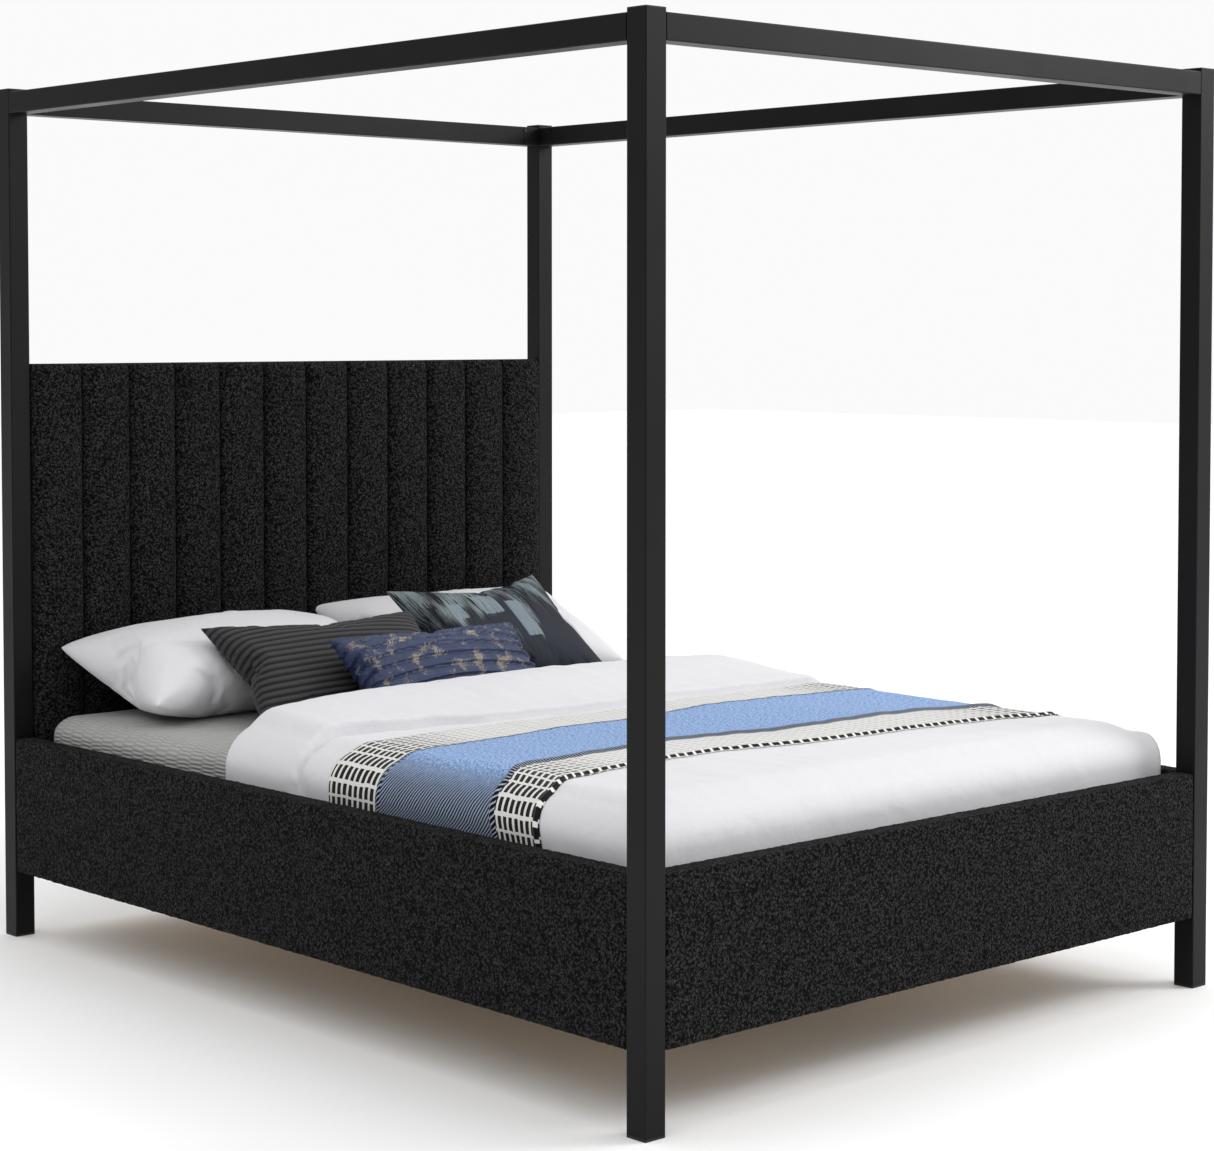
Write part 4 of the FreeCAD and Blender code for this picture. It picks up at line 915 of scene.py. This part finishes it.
def pressed_by(piece, width, height, thick, centre, lean, turn=0.0):
    """Dents a pillow where a cushion of this size and place lies on it."""
    pose = leaning(centre, lean, turn)
    back = pose.inverted()
    for vertex in piece.data.vertices:
        p = back @ vertex.co
        x, y = 2 * p.x / width, 2 * p.y / height
        if abs(x) < 1 and abs(y) < 1:
            depth = -thick / 2 * ((1 - x ** 4) * (1 - y ** 4)) ** 0.6 - 0.002
            if p.z > depth:
                p.z = depth
                vertex.co = pose @ p
    piece.data.update()


# width, height and thickness, then centre, lean and turn, of the two that press into them
ribbed_size, ribbed_place = (0.605, 0.345, 0.12), ((-0.250, 0.578, 0.638), 36.0, -3.0)
painted_size, painted_place = (0.575, 0.365, 0.12), ((0.332, 0.678, 0.665), 42.0, 9.0)
for side, centre, lean, turn, depth in (
    ("left", (-0.356, 0.845, 0.632), 14.0, 1.5, 0.215),
    ("right", (0.378, 0.852, 0.640), 24.0, -2.0, 0.185),
):
    pillow = stuffed("pillow_slip_" + side, percale, 0.755, 0.42, depth, (76, 44), 3.0, 18,
                     start=0.5, slack=0.03, full=0.5)
    lean_and_rest(pillow, centre, lean, turn)
    pressed_by(pillow, *ribbed_size, *ribbed_place)
    pressed_by(pillow, *painted_size, *painted_place)
    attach(pillow, "frame")
    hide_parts("pillow_" + side)

# ---------------------------------------------------------------- Ribbed cushion
# A long cushion in charcoal velvet quilted in level ribs about 17 mm apart, leaning on the
# left pillow. The ribs are corded, so each stands up round and casts its own shadow; the colour
# also paints each rib's top lighter and its grooves darker, as painted highlight and shade.
velvet, tree, shader = new_material(
    "ribbed_velvet_charcoal", Roughness=0.75, Specular_IOR_Level=0.2, Sheen_Weight=0.35,
    Sheen_Roughness=0.4, Sheen_Tint=linear("#b8b6b4"))
coords = add(tree, "TexCoord").outputs["UV"]
lie = add(tree, "Mapping", {"Vector": coords, "Scale": (60.0, 300.0, 1.0)})
pile = noisy(tree, lie, 1.0, 3.0)
places = add(tree, "SeparateXYZ", {"Vector": coords})
rib_at = calc(tree, "DIVIDE", places.outputs["Y"], 0.0175)
rib_top = calc(tree, "PINGPONG", rib_at, 0.5)
# each rib's top is painted lighter and its grooves darker: painted highlight and shade
lit = add(tree, "MapRange", {
    "Value": rib_top, "From Min": 0.05, "From Max": 0.4}, interpolation_type="SMOOTHSTEP")
rib_highlight_and_shade = blend(tree, lit, "#161617", "#424244")
tone = blend(tree, 0.4, rib_highlight_and_shade, pile.outputs["Color"], blend_type="MULTIPLY")
bump = bumps(tree, pile, 0.35, 0.0015)
wire(shader, {"Base Color": tone, "Normal": bump})


def raise_lines(piece, height_at):
    """Moves a cushion's skin out by height_at(u, v), from the metres of its own cloth."""
    mesh = piece.data
    spots = {}
    layer = mesh.uv_layers[0].data
    for loop in mesh.loops:
        spots[loop.vertex_index] = layer[loop.index].uv.copy()
    normals = [v.normal.copy() for v in mesh.vertices]
    for vertex, normal in zip(mesh.vertices, normals):
        vertex.co += normal * height_at(*spots[vertex.index])
    mesh.update()


ribbed_cushion = stuffed("cushion_ribbed_velvet", velvet, *ribbed_size, (96, 56), 5.0, 20)
raise_lines(ribbed_cushion, lambda u, v: 0.0028 * abs(math.sin(math.pi * v / 0.0175))
            * smooth_step((0.162 - abs(v)) / 0.01) * smooth_step((0.283 - abs(u)) / 0.01))
lean_and_rest(ribbed_cushion, *ribbed_place)
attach(ribbed_cushion, "frame")
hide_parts("cushion_ribbed")

# ---------------------------------------------------------------- Navy cushion
# A small bolster-shaped cushion in navy satin with scattered gold flecks, stitched into
# curved pin tucks that run the long way and shadow each other.
satin, tree, shader = new_material(
    "satin_navy_gold_flecked", Roughness=0.45, Specular_IOR_Level=0.4, Sheen_Weight=0.2,
    Sheen_Tint=linear("#7f92c8"))
coords = add(tree, "TexCoord").outputs["UV"]
blots = noisy(tree, coords, 85.0, 8.0, Roughness=0.8, Distortion=2.0)
groups = noisy(tree, coords, 22.0, 1.0)
both = calc(tree, "MULTIPLY", blots, groups)
gold_on = add(tree, "MapRange", {
    "Value": both, "From Min": 0.300, "From Max": 0.325}, interpolation_type="SMOOTHSTEP")
weave = noisy(tree, coords, 70.0, 4.0)
navy = blend(tree, weave, "#0f172b", "#2d3e68")
tone = blend(tree, gold_on, navy, "#857a6d")
gold_gloss = add(tree, "MapRange", {"Value": gold_on, "To Min": 0.48, "To Max": 0.32})
bump = bumps(tree, weave, 0.3, 0.002)
wire(shader, {"Base Color": tone, "Roughness": gold_gloss, "Normal": bump})


def pin_tucks(u, v):
    """Seven tucks, 30 mm apart, that bow up in the middle: a rounded ridge, then a nip."""
    bowed = v + 0.35 * u * u
    at = (bowed / 0.030) % 1.0
    ridge = math.exp(-((at - 0.5) / 0.10) ** 2)
    nip = math.exp(-((at - 0.34) / 0.05) ** 2)
    return (0.0075 * ridge - 0.0060 * nip) * smooth_step((0.118 - abs(v)) / 0.01)


navy_cushion = stuffed("cushion_navy_pintucked", satin, 0.55, 0.255, 0.11, (110, 56), 5.0, 20)
raise_lines(navy_cushion, pin_tucks)
lean_and_rest(navy_cushion, (-0.075, 0.402, 0.628), 45.0)
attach(navy_cushion, "frame")
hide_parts("cushion_navy")

# ---------------------------------------------------------------- Painted cushion
# A slate canvas cushion with loose brushed strokes of grey green over its upper half and a
# few pale blocks, leaning on the right pillow. The paint is thin and lies in the weave.
canvas, tree, shader = new_material(
    "cotton_canvas_slate_brushed", Roughness=0.85, Specular_IOR_Level=0.2)
coords = add(tree, "TexCoord").outputs["UV"]
places = add(tree, "SeparateXYZ", {"Vector": coords})
drag = add(tree, "Mapping", {
    "Vector": coords, "Rotation": (0.0, 0.0, 0.10), "Scale": (130.0, 9.0, 1.0)})
bristles = noisy(tree, drag, 1.0, 6.0, Roughness=0.7, Distortion=0.4)
loads = add(tree, "Mapping", {
    "Vector": coords, "Scale": (17.0, 5.0, 1.0), "Location": (0.4, 0.0, 0.0)})
strokes = noisy(tree, loads, 1.0, 1.0)
# paint gathers above a ragged line a little below the middle, brush load by brush load
upper = calc(tree, "MULTIPLY_ADD", strokes, 0.26, places.outputs["Y"])
amount = add(tree, "MapRange", {
    "Value": upper, "From Min": 0.04, "From Max": 0.20, "To Min": -0.32, "To Max": 0.08})
painted = calc(tree, "ADD", bristles, amount)
stroke_on = add(tree, "MapRange", {
    "Value": painted, "From Min": 0.40, "From Max": 0.58}, interpolation_type="SMOOTHSTEP")
washed = blend(tree, strokes, "#454e54", "#98a5a8")
# black dry-brush streaks over that
dry = calc(tree, "MULTIPLY_ADD", strokes, -0.45, bristles)
streak = add(tree, "MapRange", {
    "Value": dry, "From Min": 0.25, "From Max": 0.33}, interpolation_type="SMOOTHSTEP")
tint = blend(tree, streak, washed, "#16191c")
tone = blend(tree, stroke_on, "#2f333b", tint)
# pale blocks laid with a flat brush, ragged at their ends
ragged = add(tree, "VectorMath", {
    0: bristles.outputs["Color"], 1: (0.006, 0.018, 0.0), 2: coords},
    operation="MULTIPLY_ADD")
frayed = add(tree, "SeparateXYZ", {"Vector": ragged})
thinned = add(tree, "MapRange", {
    "Value": bristles, "From Min": 0.30, "From Max": 0.50, "To Min": 0.35, "To Max": 0.9})
shown = tone
for block_u, block_v, half_u, half_v in (
    (-0.040, 0.062, 0.032, 0.034), (0.040, 0.005, 0.024, 0.055), (-0.150, 0.052, 0.020, 0.024),
):
    near_u = calc(tree, "COMPARE", frayed.outputs["X"], block_u, half_u)
    near_v = calc(tree, "COMPARE", frayed.outputs["Y"], block_v, half_v)
    inside = calc(tree, "MULTIPLY", near_u, near_v)
    thin = calc(tree, "MULTIPLY", inside, thinned)
    shown = blend(tree, thin, shown, "#83919a")
# canvas threads 0.8 mm apart, drawn at 3 mm
threads = noisy(tree, coords, 330.0, 1.0)
woven_in = blend(tree, 0.25, shown, threads.outputs["Color"], blend_type="MULTIPLY")
bump = bumps(tree, threads, 0.25, 0.0012)
wire(shader, {"Base Color": woven_in, "Normal": bump})

painted_cushion = stuffed("cushion_painted_canvas", canvas, *painted_size, (80, 54), 5.0, 20)
lean_and_rest(painted_cushion, *painted_place)
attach(painted_cushion, "frame")
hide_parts("cushion_painted")
